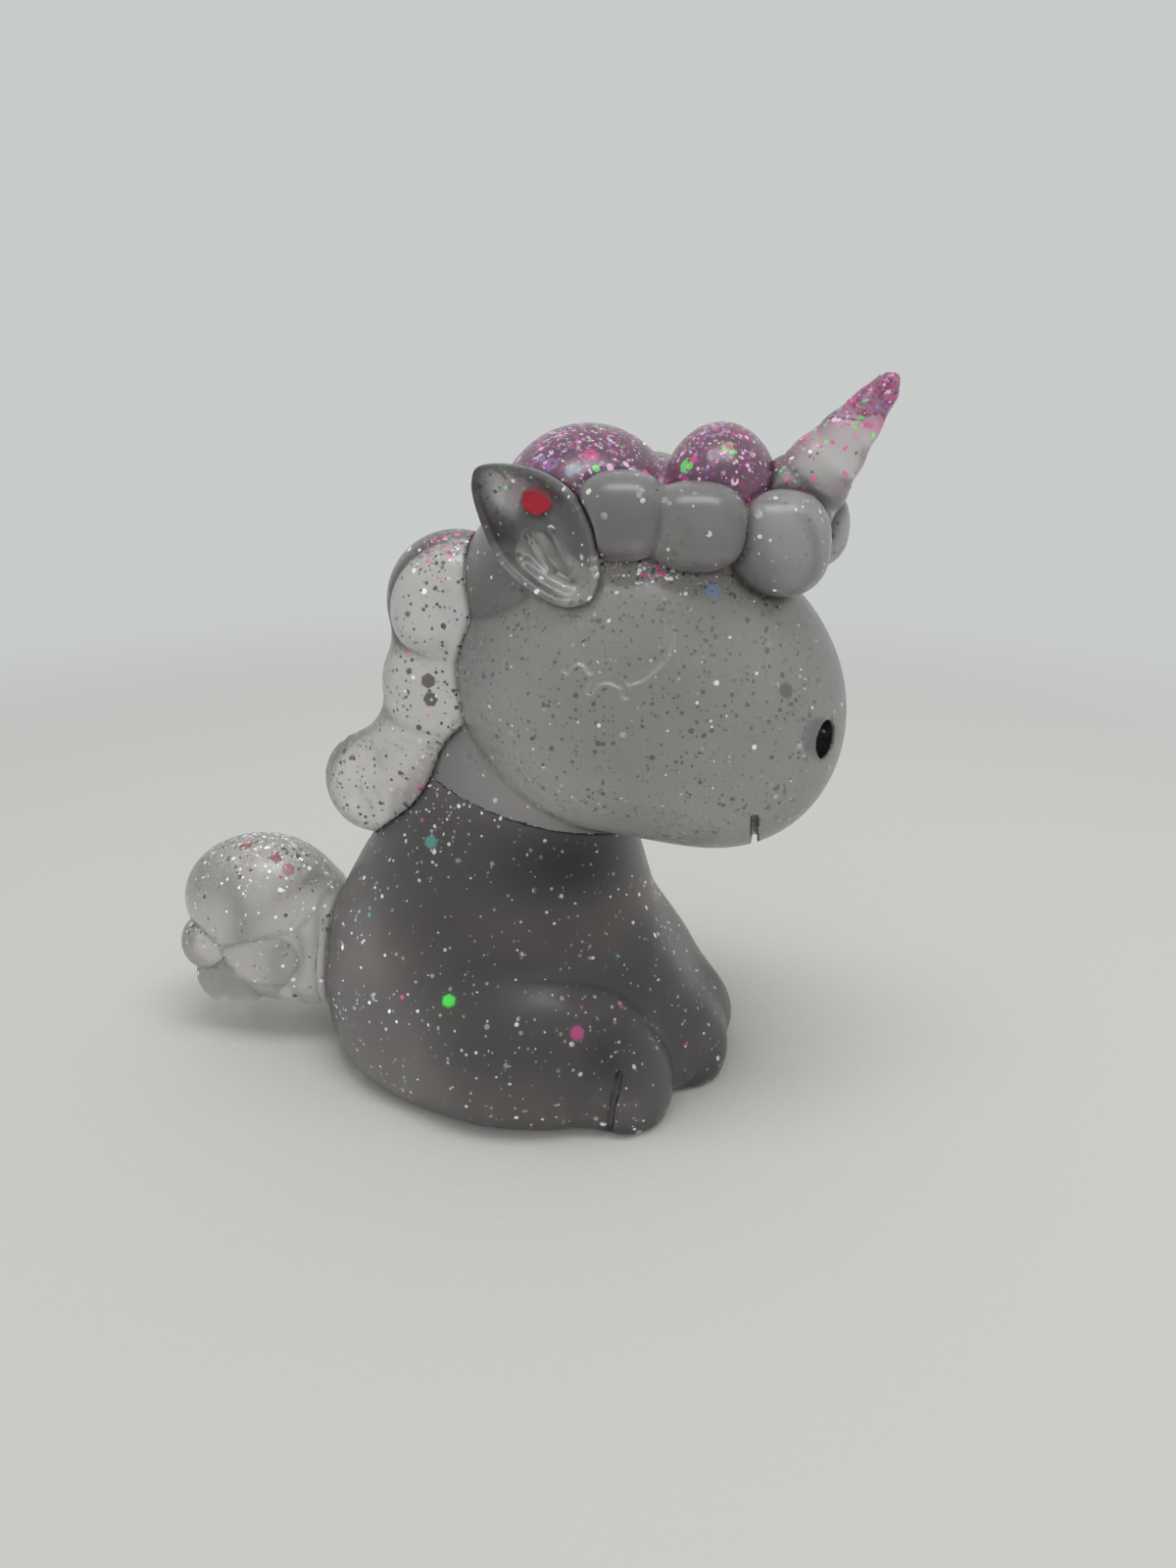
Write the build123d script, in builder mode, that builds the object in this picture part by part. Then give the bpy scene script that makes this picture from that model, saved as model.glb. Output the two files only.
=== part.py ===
"""Seated unicorn figurine, cast in translucent resin.

Frame: +X is forward, where the muzzle points, +Z is up, and the figure is set
about the XZ plane. The origin lies on the flat underside, below the torso.
All sizes are millimetres and all angles degrees. A value whose name ends in
share or shares is a part of the size of the piece that carries the detail.
"""
import os
from math import cos, radians, sin

from build123d import *

os.makedirs("parts", exist_ok=True)

# Torso: an upright bell, lofted through ellipses from the floor to the neck
torso_half_length = 24.8
torso_half_width = 21.4
torso_height = 43.2
torso_level_shares = (0, 0.092, 0.278, 0.467, 0.667, 0.867, 1)
torso_length_shares = (0.93, 1, 0.955, 0.835, 0.69, 0.56, 0.49)
torso_width_shares = (0.93, 1, 0.945, 0.8, 0.66, 0.54, 0.49)
torso_shift_shares = (-0.065, -0.089, -0.15, -0.17, -0.12, -0.03, 0.06)

# Legs: haunch and hind hoof at the side, foreleg and fore hoof at the front
haunch_radii_shares = (0.5645, 0.5794, 0.2639)
haunch_tilt = (0, 14, 12)
haunch_place_shares = (0.105, -0.523, 0.176)
haunch_inner_share = 0.3
hind_hoof_radii_shares = (0.4, 0.4839, 0.5789)
hind_hoof_tilt = (0, 0, -14)
hind_hoof_place_shares = (0.857, -0.274, -0.351)
foreleg_radii_shares = (0.2339, 0.2804, 0.3125)
foreleg_tilt = (0, -26, 0)
foreleg_place_shares = (0.653, -0.224, 0.209)
fore_hoof_radii_shares = (0.9655, 0.7667, 0.4)
fore_hoof_place_shares = (0.69, 0.1, -0.4)

# Head: a large egg for the skull and a smaller one for the muzzle
head_radii = (20.6, 19.6, 19.0)
head_forward_share = 0.508
head_raise_share = 0.4105
muzzle_radii = (13.6, 16.2, 15.2)
muzzle_place_shares = (0.563, 0, -0.253)
nostril_radii = (2.2, 1.8, 2.1)
nostril_place_shares = (0.838, -0.543, 0.026)
nostril_turn = -28
mouth_width = 0.7
mouth_depth = 0.9
mouth_place_share = 0.29
mouth_top_share = -0.447
eye_line_radius = 0.28
lid_shares = ((0.301, -0.827, 0.474), (0.252, -0.918, 0.316), (0.121, -0.969, 0.221))
front_lash_shares = ((0.097, -0.985, 0.158), (0.005, -0.975, 0.226), (-0.083, -0.985, 0.158))
rear_lash_shares = ((-0.078, -0.959, 0.268), (-0.146, -0.939, 0.316), (-0.204, -0.944, 0.258))
poll_radii = (10.2, 13.2, 10.0)
poll_place_shares = (-0.447, 0, 0.579)

# Ear: a leaf of two arcs with a domed back and a cupped front
ear_length = 16.3
ear_upper_bulge = 5.7
ear_lower_bulge = 4.5
ear_root_radius = 3.0
ear_rim_height = 1.2
ear_thickness = 4.7
ear_back_radius = 12.5
ear_cup_radii = (7.4, 4.0, 2.5)
ear_cup_place_shares = (0.47, -0.03, 0.11)
ear_place_shares = (-0.160, -0.776, 0.632)
ear_direction_shares = (-0.644, 0.160, 0.748)
ear_facing_shares = (0.20, -0.96, 0.18)

# Horn: a cone with a waved side, its tip a pour of its own
horn_length = 16.7
horn_base_radius = 5.0
horn_tip_radius = 1.1
horn_cap_share = 1.1
horn_sunk_share = 0.12
horn_wave = 0.18
horn_wave_count = 5
horn_lean = 36.5
horn_place_shares = (0.859, 0, 1.053)
horn_pink_share = 0.70

# Mane: two pink rolls over the crown, clear locks at the brow and down the nape
crown_rear_radii = (10.4, 12.5, 10.7)
crown_rear_place_shares = (-0.252, 0, 0.916)
crown_front_radii = (6.6, 9.0, 8.4)
crown_front_place_shares = (0.466, 0, 1.053)
brow_rear_radii = (4.0, 5.2, 5.2)
brow_rear_place_shares = (0.010, -0.551, 1.011)
brow_middle_radii = (4.9, 5.6, 4.8)
brow_middle_place_shares = (0.388, -0.459, 0.979)
brow_right_radii = (5.4, 5.6, 5.6)
brow_right_place_shares = (0.806, -0.276, 0.853)
brow_left_radii = (5.2, 5.0, 4.8)
brow_left_place_shares = (0.922, 0.173, 0.895)
nape_upper_radii = (8.8, 7.8, 8.7)
nape_upper_place_shares = (-1.0, 0, 0.389)
nape_middle_radii = (8.4, 8.0, 8.0)
nape_middle_place_shares = (-1.068, 0, -0.116)
nape_lower_radii = (8.4, 8.0, 9.6)
nape_lower_place_shares = (-0.5, 0, 0.8796)
nape_curl_radii = (6.4, 6.0, 6.4)
nape_curl_place_shares = (-0.905, 0, -0.271)

# Tail: a root against the rump and the locks that curl round it
tail_root_radii = (7.5, 7.6, 8.6)
tail_root_place_shares = (-1.169, 0, 0.267)
tail_upper_radii = (10.7, 8.6, 8.6)
tail_upper_place_shares = (-1.04, 0, 0.686)
tail_side_radii = (7.6, 4.8, 5.6)
tail_side_place_shares = (-0.667, -0.526, 0.105)
tail_under_radii = (7.6, 7.4, 5.8)
tail_under_place_shares = (-0.6, 0, -0.337)
tail_curl_radii = (3.6, 4.2, 4.0)
tail_curl_place_shares = (-0.617, -0.442, -0.581)
tail_low_curl_radii = (5.4, 4.5, 4.6)
tail_low_curl_place_shares = (-0.355, -0.349, -1.186)

# Glitter flakes: thin hexagons, each sealed below the surface of its piece
flake_width = 1.5
large_flake_width = 3.0
flake_thickness = 0.2
flake_sunk_share = 0.88
ear_flake_shares = (0.66, -0.155, -0.06)
horn_flake_height_shares = (0.86, 0.63)
horn_flake_side_share = 0.02
torso_green_shares = (-0.226, -0.85, 0.352)
torso_turquoise_shares = (-0.38, -0.47, 0.733)
haunch_pink_shares = (0.53, -0.63, 0.47)
head_blue_shares = (0.524, -0.536, 0.668)
muzzle_dark_shares = (0.493, -0.735, 0.47)
crown_rear_blue_shares = (-0.26, -0.67, 0.69)
crown_rear_turquoise_shares = (0.0, -0.76, 0.65)
crown_rear_pink_shares = ((0.163, -0.6, 0.785), (-0.2, 0.5, 0.84))
crown_front_pink_shares = (0.3, 0.55, 0.78)
crown_front_green_shares = ((0.197, -0.6, 0.775), (-0.5, -0.67, 0.548))
crown_front_dark_shares = (0.197, -0.87, 0.45)
nape_dark_shares = ((-0.095, -0.95, 0.26), (-0.06, -0.99, -0.03))
tail_red_shares = ((-0.131, -0.163, 0.977), (0.346, -0.302, 0.884), (0.542, -0.419, 0.733))


def radii_of(carrier_radii, shares):
    """The half axes of a form, as shares of the half axes of the form that carries it."""
    return [radius * share for radius, share in zip(carrier_radii, shares)]


def place(carrier_centre, carrier_radii, shares):
    """The point that lies at the given shares of a carrier's radii from its centre."""
    return Vector(*carrier_centre) + Vector(*radii_of(carrier_radii, shares))


def egg(centre, radii, tilt=(0, 0, 0)):
    """An egg with three half axes, turned by tilt and set at centre.

    Its skin is a right and a left half, so that no face closes on itself.
    """
    with BuildPart() as half:
        Sphere(radius=1)
        split(bisect_by=Plane.XZ, keep=Keep.TOP)
        scale(by=tuple(radii))
    right_skin = half.faces().sort_by(SortBy.AREA)[-1]
    whole = Solid(Shell([right_skin, right_skin.mirror(Plane.XZ)]))
    return whole.moved(Location(tuple(centre), tilt))


def flake(spot, outward, width=flake_width):
    """A hexagonal flake at a spot, facing outward."""
    with BuildPart() as chip:
        with BuildSketch(Plane(origin=spot, z_dir=outward)):
            RegularPolygon(radius=width / 2, side_count=6, major_radius=False)
        extrude(amount=flake_thickness / 2, both=True)
    return chip.part


def sunk_flake(carrier_centre, carrier_radii, shares, width=flake_width):
    """A hexagonal flake sunk in an egg, lying along its surface."""
    spot = place(carrier_centre, carrier_radii, [share * flake_sunk_share for share in shares])
    outward = Vector(*[share / radius for share, radius in zip(shares, carrier_radii)])
    return flake(spot, outward, width)


def eye_line(shares):
    """A round groove tool along an arc through three points of the head's surface."""
    start, middle, end = [place(head_centre, head_radii, point) for point in shares]
    with BuildPart() as line:
        with BuildLine():
            arc = ThreePointArc(start, middle, end)
        with BuildSketch(Plane(origin=arc @ 0, z_dir=arc % 0)):
            Circle(eye_line_radius)
        sweep(path=arc)
    return line.part


# Places of the main forms, each from the piece that carries it
base_point = Vector(0, 0, 0)
torso_radii = (torso_half_length, torso_half_width, torso_height)
head_rise = torso_height + head_raise_share * head_radii[2]
head_centre = Vector(head_forward_share * torso_half_length, 0, head_rise)
muzzle_centre = place(head_centre, head_radii, muzzle_place_shares)
haunch_centre = place(base_point, torso_radii, haunch_place_shares)
haunch_radii = radii_of(torso_radii, haunch_radii_shares)
crown_rear_centre = place(head_centre, head_radii, crown_rear_place_shares)
crown_front_centre = place(head_centre, head_radii, crown_front_place_shares)
nape_middle_centre = place(head_centre, head_radii, nape_middle_place_shares)
tail_root_centre = place(base_point, torso_radii, tail_root_place_shares)
tail_upper_centre = place(tail_root_centre, tail_root_radii, tail_upper_place_shares)

# Frame of the right ear: x from its root to its tip, z out of the cup
ear_root = place(head_centre, head_radii, ear_place_shares)
ear_along = Vector(*ear_direction_shares).normalized()
ear_facing = Vector(*ear_facing_shares)
ear_outward = (ear_facing - ear_along * ear_facing.dot(ear_along)).normalized()
ear_plane = Plane(origin=ear_root, x_dir=ear_along, z_dir=ear_outward)

# Frame of the horn: the sketch plane holds its axis, with y along the horn
horn_root = place(head_centre, head_radii, horn_place_shares)
horn_along = Vector(sin(radians(horn_lean)), 0, cos(radians(horn_lean)))
horn_across = Vector(cos(radians(horn_lean)), 0, -sin(radians(horn_lean)))
horn_plane = Plane(origin=horn_root, x_dir=horn_across, z_dir=(0, -1, 0))

# Glitter flakes, made first because their pieces are cast round them
ear_flake_spot = ear_plane.from_local_coords(Vector(*ear_flake_shares) * ear_length)
horn_tip_spot, horn_side_spot = [
    horn_root + (horn_along * height - Vector(0, horn_flake_side_share, 0)) * horn_length
    for height in horn_flake_height_shares
]
torso_green_spot = place(base_point, torso_radii, torso_green_shares)
torso_turquoise_spot = place(base_point, torso_radii, torso_turquoise_shares)
sideways = Vector(0, -1, 0)

with BuildPart() as flakes_red:
    add(flake(ear_flake_spot, ear_outward, large_flake_width))
    add(flake(horn_tip_spot, horn_across))
    for shares in tail_red_shares:
        add(sunk_flake(tail_upper_centre, tail_upper_radii, shares))
flakes_red.part.label = "flakes_red"
export_step(flakes_red.part, "parts/flakes_red.step")

with BuildPart() as flakes_green:
    add(flake(torso_green_spot, sideways))
    add(flake(horn_side_spot, horn_across))
    for shares in crown_front_green_shares:
        add(sunk_flake(crown_front_centre, crown_front_radii, shares))
flakes_green.part.label = "flakes_green"
export_step(flakes_green.part, "parts/flakes_green.step")

with BuildPart() as flakes_pink:
    add(sunk_flake(haunch_centre, haunch_radii, haunch_pink_shares))
    for shares in crown_rear_pink_shares:
        add(sunk_flake(crown_rear_centre, crown_rear_radii, shares))
    add(sunk_flake(crown_front_centre, crown_front_radii, crown_front_pink_shares))
flakes_pink.part.label = "flakes_pink"
export_step(flakes_pink.part, "parts/flakes_pink.step")

with BuildPart() as flakes_turquoise:
    add(flake(torso_turquoise_spot, sideways))
    add(sunk_flake(crown_rear_centre, crown_rear_radii, crown_rear_turquoise_shares))
flakes_turquoise.part.label = "flakes_turquoise"
export_step(flakes_turquoise.part, "parts/flakes_turquoise.step")

with BuildPart() as flakes_blue:
    add(sunk_flake(head_centre, head_radii, head_blue_shares))
    add(sunk_flake(crown_rear_centre, crown_rear_radii, crown_rear_blue_shares))
flakes_blue.part.label = "flakes_blue"
export_step(flakes_blue.part, "parts/flakes_blue.step")

with BuildPart() as flakes_dark:
    add(sunk_flake(crown_front_centre, crown_front_radii, crown_front_dark_shares, large_flake_width))
    add(sunk_flake(muzzle_centre, muzzle_radii, muzzle_dark_shares))
    for shares in nape_dark_shares:
        add(sunk_flake(nape_middle_centre, nape_middle_radii, shares))
flakes_dark.part.label = "flakes_dark"
export_step(flakes_dark.part, "parts/flakes_dark.step")

# Head: skull and muzzle in one casting, with the moulded face cut in
with BuildPart() as head_form:
    add(egg(head_centre, head_radii))
    add(egg(muzzle_centre, muzzle_radii))

with BuildPart() as mouth_tool:
    muzzle_plane = Plane(origin=muzzle_centre, x_dir=(0, 1, 0), z_dir=(1, 0, 0))
    with BuildSketch(muzzle_plane.offset(mouth_place_share * muzzle_radii[0])):
        with Locations((0, mouth_top_share * muzzle_radii[2])):
            Rectangle(2 * muzzle_radii[1], muzzle_radii[2], align=(Align.CENTER, Align.MAX))
    extrude(amount=mouth_width / 2, both=True)
    add(egg(muzzle_centre, [radius - mouth_depth for radius in muzzle_radii]), mode=Mode.SUBTRACT)

with BuildPart() as face_tool:
    nostril_centre = place(muzzle_centre, muzzle_radii, nostril_place_shares)
    add(egg(nostril_centre, nostril_radii, (0, 0, nostril_turn)))
    for shares in (lid_shares, front_lash_shares, rear_lash_shares):
        add(eye_line(shares))

with BuildPart() as head:
    add(head_form.part)
    add(mouth_tool.part, mode=Mode.SUBTRACT)
    add(face_tool.part, mode=Mode.SUBTRACT)
    add(face_tool.part.mirror(Plane.XZ), mode=Mode.SUBTRACT)
    add(flakes_blue.part, mode=Mode.SUBTRACT)
    add(flakes_dark.part, mode=Mode.SUBTRACT)
head.part.label = "head"
export_step(head.part, "parts/head.step")

# Back of the head: it lies behind the ears, up against the mane
poll_egg = egg(place(head_centre, head_radii, poll_place_shares), poll_radii)
with BuildPart() as poll:
    add(poll_egg)
    add(head_form.part, mode=Mode.SUBTRACT)
poll.part.label = "poll"
export_step(poll.part, "parts/poll.step")

# Legs: each form is cut flat by the floor, and the forelegs meet in the middle
haunch_inner_plane = Plane(origin=(0, -haunch_inner_share * torso_half_width, 0), z_dir=(0, -1, 0))
hind_hoof_centre = place(haunch_centre, haunch_radii, hind_hoof_place_shares)
hind_hoof_egg = egg(hind_hoof_centre, radii_of(haunch_radii, hind_hoof_radii_shares), hind_hoof_tilt)
foreleg_centre = place(base_point, torso_radii, foreleg_place_shares)
foreleg_radii = radii_of(torso_radii, foreleg_radii_shares)
fore_hoof_centre = place(foreleg_centre, foreleg_radii, fore_hoof_place_shares)

with BuildPart() as haunch_form:
    add(egg(haunch_centre, haunch_radii, haunch_tilt))
    split(bisect_by=haunch_inner_plane, keep=Keep.TOP)
    split(bisect_by=Plane.XY, keep=Keep.TOP)

with BuildPart() as hind_hoof_right:
    add(hind_hoof_egg)
    split(bisect_by=Plane.XY, keep=Keep.TOP)
hind_hoof_right.part.label = "hind_hoof_right"
export_step(hind_hoof_right.part, "parts/hind_hoof_right.step")

with BuildPart() as hind_hoof_left:
    mirror(hind_hoof_right.part, about=Plane.XZ)
hind_hoof_left.part.label = "hind_hoof_left"
export_step(hind_hoof_left.part, "parts/hind_hoof_left.step")

with BuildPart() as haunch_right:
    add(haunch_form.part)
    add(hind_hoof_egg, mode=Mode.SUBTRACT)
    add(flakes_pink.part, mode=Mode.SUBTRACT)
    add(flakes_green.part, mode=Mode.SUBTRACT)
haunch_right.part.label = "haunch_right"
export_step(haunch_right.part, "parts/haunch_right.step")

with BuildPart() as haunch_left:
    add(haunch_form.part)
    add(hind_hoof_egg, mode=Mode.SUBTRACT)
    mirror(about=Plane.XZ, mode=Mode.REPLACE)
haunch_left.part.label = "haunch_left"
export_step(haunch_left.part, "parts/haunch_left.step")

with BuildPart() as fore_hoof_right:
    add(egg(fore_hoof_centre, radii_of(foreleg_radii, fore_hoof_radii_shares)))
    split(bisect_by=Plane.XZ, keep=Keep.TOP)
    split(bisect_by=Plane.XY, keep=Keep.TOP)
fore_hoof_right.part.label = "fore_hoof_right"
export_step(fore_hoof_right.part, "parts/fore_hoof_right.step")

with BuildPart() as fore_hoof_left:
    mirror(fore_hoof_right.part, about=Plane.XZ)
fore_hoof_left.part.label = "fore_hoof_left"
export_step(fore_hoof_left.part, "parts/fore_hoof_left.step")

with BuildPart() as foreleg_form:
    add(egg(foreleg_centre, foreleg_radii, foreleg_tilt))
    split(bisect_by=Plane.XZ, keep=Keep.TOP)
    split(bisect_by=Plane.XY, keep=Keep.TOP)

with BuildPart() as foreleg_right:
    add(foreleg_form.part)
    for form in (fore_hoof_right, hind_hoof_right, haunch_form):
        add(form.part, mode=Mode.SUBTRACT)
foreleg_right.part.label = "foreleg_right"
export_step(foreleg_right.part, "parts/foreleg_right.step")

with BuildPart() as foreleg_left:
    mirror(foreleg_right.part, about=Plane.XZ)
foreleg_left.part.label = "foreleg_left"
export_step(foreleg_left.part, "parts/foreleg_left.step")

# Torso: it fills what the head and the legs leave free
with BuildPart() as torso_half:
    for level, length, width, shift in zip(
        torso_level_shares, torso_length_shares, torso_width_shares, torso_shift_shares
    ):
        half_length = length * torso_half_length
        half_width = width * torso_half_width
        with BuildSketch(Plane.XY.offset(level * torso_height)):
            with Locations((shift * torso_half_length, 0)):
                Ellipse(half_length, half_width)
                with Locations((0, -half_width)):
                    Rectangle(2 * half_length, 2 * half_width, mode=Mode.INTERSECT)
    loft()

with BuildPart() as torso_form:
    add(torso_half.part)
    mirror(about=Plane.XZ)

with BuildPart() as torso:
    add(torso_form.part)
    add(head_form.part, mode=Mode.SUBTRACT)
    for form in (haunch_form, hind_hoof_right, foreleg_form, fore_hoof_right):
        add(form.part, mode=Mode.SUBTRACT)
        add(form.part.mirror(Plane.XZ), mode=Mode.SUBTRACT)
    add(flakes_green.part, mode=Mode.SUBTRACT)
    add(flakes_turquoise.part, mode=Mode.SUBTRACT)
torso.part.label = "torso"
export_step(torso.part, "parts/torso.step")

# Crown: two pink rolls that lie one behind the other across the head
crown_rear_egg = egg(crown_rear_centre, crown_rear_radii)
with BuildPart() as crown_roll_rear:
    add(crown_rear_egg)
    for tool in (head_form, flakes_pink, flakes_turquoise, flakes_blue):
        add(tool.part, mode=Mode.SUBTRACT)
    add(poll_egg, mode=Mode.SUBTRACT)
crown_roll_rear.part.label = "crown_roll_rear"
export_step(crown_roll_rear.part, "parts/crown_roll_rear.step")

crown_front_egg = egg(crown_front_centre, crown_front_radii)
with BuildPart() as crown_roll_front:
    add(crown_front_egg)
    for tool in (head_form, flakes_pink, flakes_green, flakes_dark):
        add(tool.part, mode=Mode.SUBTRACT)
    add(crown_rear_egg, mode=Mode.SUBTRACT)
crown_roll_front.part.label = "crown_roll_front"
export_step(crown_roll_front.part, "parts/crown_roll_front.step")

# Forelock: a rear and a middle lock on each side, and one lock each side of the horn
brow_rear_egg = egg(place(head_centre, head_radii, brow_rear_place_shares), brow_rear_radii)
with BuildPart() as brow_lock_rear_right:
    add(brow_rear_egg)
    for tool in (head_form.part, poll_egg, crown_rear_egg, crown_front_egg):
        add(tool, mode=Mode.SUBTRACT)
brow_lock_rear_right.part.label = "brow_lock_rear_right"
export_step(brow_lock_rear_right.part, "parts/brow_lock_rear_right.step")

with BuildPart() as brow_lock_rear_left:
    mirror(brow_lock_rear_right.part, about=Plane.XZ)
brow_lock_rear_left.part.label = "brow_lock_rear_left"
export_step(brow_lock_rear_left.part, "parts/brow_lock_rear_left.step")

brow_middle_egg = egg(place(head_centre, head_radii, brow_middle_place_shares), brow_middle_radii)
with BuildPart() as brow_lock_middle_right:
    add(brow_middle_egg)
    for tool in (head_form.part, crown_rear_egg, crown_front_egg, brow_rear_egg):
        add(tool, mode=Mode.SUBTRACT)
brow_lock_middle_right.part.label = "brow_lock_middle_right"
export_step(brow_lock_middle_right.part, "parts/brow_lock_middle_right.step")

with BuildPart() as brow_lock_middle_left:
    mirror(brow_lock_middle_right.part, about=Plane.XZ)
brow_lock_middle_left.part.label = "brow_lock_middle_left"
export_step(brow_lock_middle_left.part, "parts/brow_lock_middle_left.step")

brow_right_egg = egg(place(head_centre, head_radii, brow_right_place_shares), brow_right_radii)
with BuildPart() as brow_lock_front_right:
    add(brow_right_egg)
    for tool in (head_form.part, crown_front_egg, brow_middle_egg):
        add(tool, mode=Mode.SUBTRACT)
brow_lock_front_right.part.label = "brow_lock_front_right"
export_step(brow_lock_front_right.part, "parts/brow_lock_front_right.step")

brow_left_egg = egg(place(head_centre, head_radii, brow_left_place_shares), brow_left_radii)
with BuildPart() as brow_lock_front_left:
    add(brow_left_egg)
    for tool in (head_form.part, crown_front_egg, brow_right_egg):
        add(tool, mode=Mode.SUBTRACT)
brow_lock_front_left.part.label = "brow_lock_front_left"
export_step(brow_lock_front_left.part, "parts/brow_lock_front_left.step")

# Ears: a leaf-shaped plate, domed behind and cupped in front
with BuildPart() as ear_form:
    with BuildSketch(ear_plane.offset(-ear_thickness)):
        with BuildLine():
            ThreePointArc((0, 0), (ear_length / 2, -ear_upper_bulge), (ear_length, 0))
            ThreePointArc((ear_length, 0), (ear_length / 2, ear_lower_bulge), (0, 0))
        make_face()
        with Locations((ear_root_radius, 0)):
            Circle(ear_root_radius)
    extrude(amount=ear_thickness + ear_rim_height)
    with Locations(ear_plane.location):
        with Locations((ear_length / 2, 0, ear_back_radius + ear_rim_height - ear_thickness)):
            Sphere(ear_back_radius, mode=Mode.INTERSECT)
        with Locations(Vector(*ear_cup_place_shares) * ear_length):
            add(egg(base_point, ear_cup_radii), mode=Mode.SUBTRACT)
    for tool in (head_form.part, poll_egg, crown_rear_egg, brow_rear_egg):
        add(tool, mode=Mode.SUBTRACT)

with BuildPart() as ear_right:
    add(ear_form.part)
    add(flakes_red.part, mode=Mode.SUBTRACT)
ear_right.part.label = "ear_right"
export_step(ear_right.part, "parts/ear_right.step")

with BuildPart() as ear_left:
    mirror(ear_form.part, about=Plane.XZ)
ear_left.part.label = "ear_left"
export_step(ear_left.part, "parts/ear_left.step")

# Horn: a waved cone that stands on the front roll and the front locks
horn_sunk = horn_sunk_share * horn_length
horn_side = []
for step in range(2 * horn_wave_count + 1):
    share = step / (2 * horn_wave_count)
    wave = horn_wave if step % 2 else -horn_wave
    height = share * (horn_length - horn_tip_radius)
    horn_side.append((horn_base_radius + share * (horn_tip_radius - horn_base_radius) + wave, height))

with BuildPart() as horn_form:
    with BuildSketch(horn_plane):
        with BuildLine():
            side = Spline(horn_side)
            cap = RadiusArc(side @ 1, (0, horn_length), -horn_cap_share * horn_tip_radius)
            Line(cap @ 1, (0, -horn_sunk))
            Line((0, -horn_sunk), (horn_base_radius, -horn_sunk))
            Line((horn_base_radius, -horn_sunk), side @ 0)
        make_face()
    revolve(axis=Axis(horn_root, horn_along), revolution_arc=180)
    mirror(about=Plane.XZ)
    for tool in (crown_front_egg, brow_right_egg, brow_left_egg):
        add(tool, mode=Mode.SUBTRACT)

horn_pink_plane = Plane(origin=horn_root + horn_along * (horn_pink_share * horn_length), z_dir=horn_along)
with BuildPart() as horn:
    add(horn_form.part)
    split(bisect_by=horn_pink_plane, keep=Keep.BOTTOM)
    add(flakes_green.part, mode=Mode.SUBTRACT)
horn.part.label = "horn"
export_step(horn.part, "parts/horn.step")

with BuildPart() as horn_tip:
    add(horn_form.part)
    split(bisect_by=horn_pink_plane, keep=Keep.TOP)
    add(flakes_red.part, mode=Mode.SUBTRACT)
horn_tip.part.label = "horn_tip"
export_step(horn_tip.part, "parts/horn_tip.step")

# Nape: three locks one below the other, and the curl that turns back
nape_upper_egg = egg(place(head_centre, head_radii, nape_upper_place_shares), nape_upper_radii)
with BuildPart() as nape_lock_upper:
    add(nape_upper_egg)
    for tool in (head_form.part, poll_egg, crown_rear_egg):
        add(tool, mode=Mode.SUBTRACT)
nape_lock_upper.part.label = "nape_lock_upper"
export_step(nape_lock_upper.part, "parts/nape_lock_upper.step")

nape_middle_egg = egg(nape_middle_centre, nape_middle_radii)
with BuildPart() as nape_lock_middle:
    add(nape_middle_egg)
    for tool in (head_form.part, torso_form.part, nape_upper_egg, flakes_dark.part):
        add(tool, mode=Mode.SUBTRACT)
nape_lock_middle.part.label = "nape_lock_middle"
export_step(nape_lock_middle.part, "parts/nape_lock_middle.step")

nape_lower_centre = place(base_point, torso_radii, nape_lower_place_shares)
nape_lower_egg = egg(nape_lower_centre, nape_lower_radii)
with BuildPart() as nape_lock_lower:
    add(nape_lower_egg)
    for tool in (head_form.part, torso_form.part, nape_middle_egg):
        add(tool, mode=Mode.SUBTRACT)
nape_lock_lower.part.label = "nape_lock_lower"
export_step(nape_lock_lower.part, "parts/nape_lock_lower.step")

with BuildPart() as nape_curl:
    add(egg(place(nape_lower_centre, nape_lower_radii, nape_curl_place_shares), nape_curl_radii))
    for tool in (torso_form.part, nape_lower_egg):
        add(tool, mode=Mode.SUBTRACT)
nape_curl.part.label = "nape_curl"
export_step(nape_curl.part, "parts/nape_curl.step")

# Tail: its root stands on the rump, and the locks lie over and beside one another
tail_root_egg = egg(tail_root_centre, tail_root_radii)
with BuildPart() as tail_root:
    add(tail_root_egg)
    add(torso_form.part, mode=Mode.SUBTRACT)
tail_root.part.label = "tail_root"
export_step(tail_root.part, "parts/tail_root.step")

tail_upper_egg = egg(tail_upper_centre, tail_upper_radii)
with BuildPart() as tail_lock_upper:
    add(tail_upper_egg)
    add(tail_root_egg, mode=Mode.SUBTRACT)
    add(flakes_red.part, mode=Mode.SUBTRACT)
tail_lock_upper.part.label = "tail_lock_upper"
export_step(tail_lock_upper.part, "parts/tail_lock_upper.step")

tail_under_egg = egg(place(tail_root_centre, tail_root_radii, tail_under_place_shares), tail_under_radii)
with BuildPart() as tail_lock_under:
    add(tail_under_egg)
    for tool in (torso_form.part, tail_root_egg, tail_upper_egg):
        add(tool, mode=Mode.SUBTRACT)
tail_lock_under.part.label = "tail_lock_under"
export_step(tail_lock_under.part, "parts/tail_lock_under.step")

tail_side_egg = egg(place(tail_root_centre, tail_root_radii, tail_side_place_shares), tail_side_radii)
with BuildPart() as tail_lock_side_right:
    add(tail_side_egg)
    split(bisect_by=Plane.XZ, keep=Keep.TOP)
    for tool in (torso_form.part, tail_root_egg, tail_upper_egg, tail_under_egg):
        add(tool, mode=Mode.SUBTRACT)
tail_lock_side_right.part.label = "tail_lock_side_right"
export_step(tail_lock_side_right.part, "parts/tail_lock_side_right.step")

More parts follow.
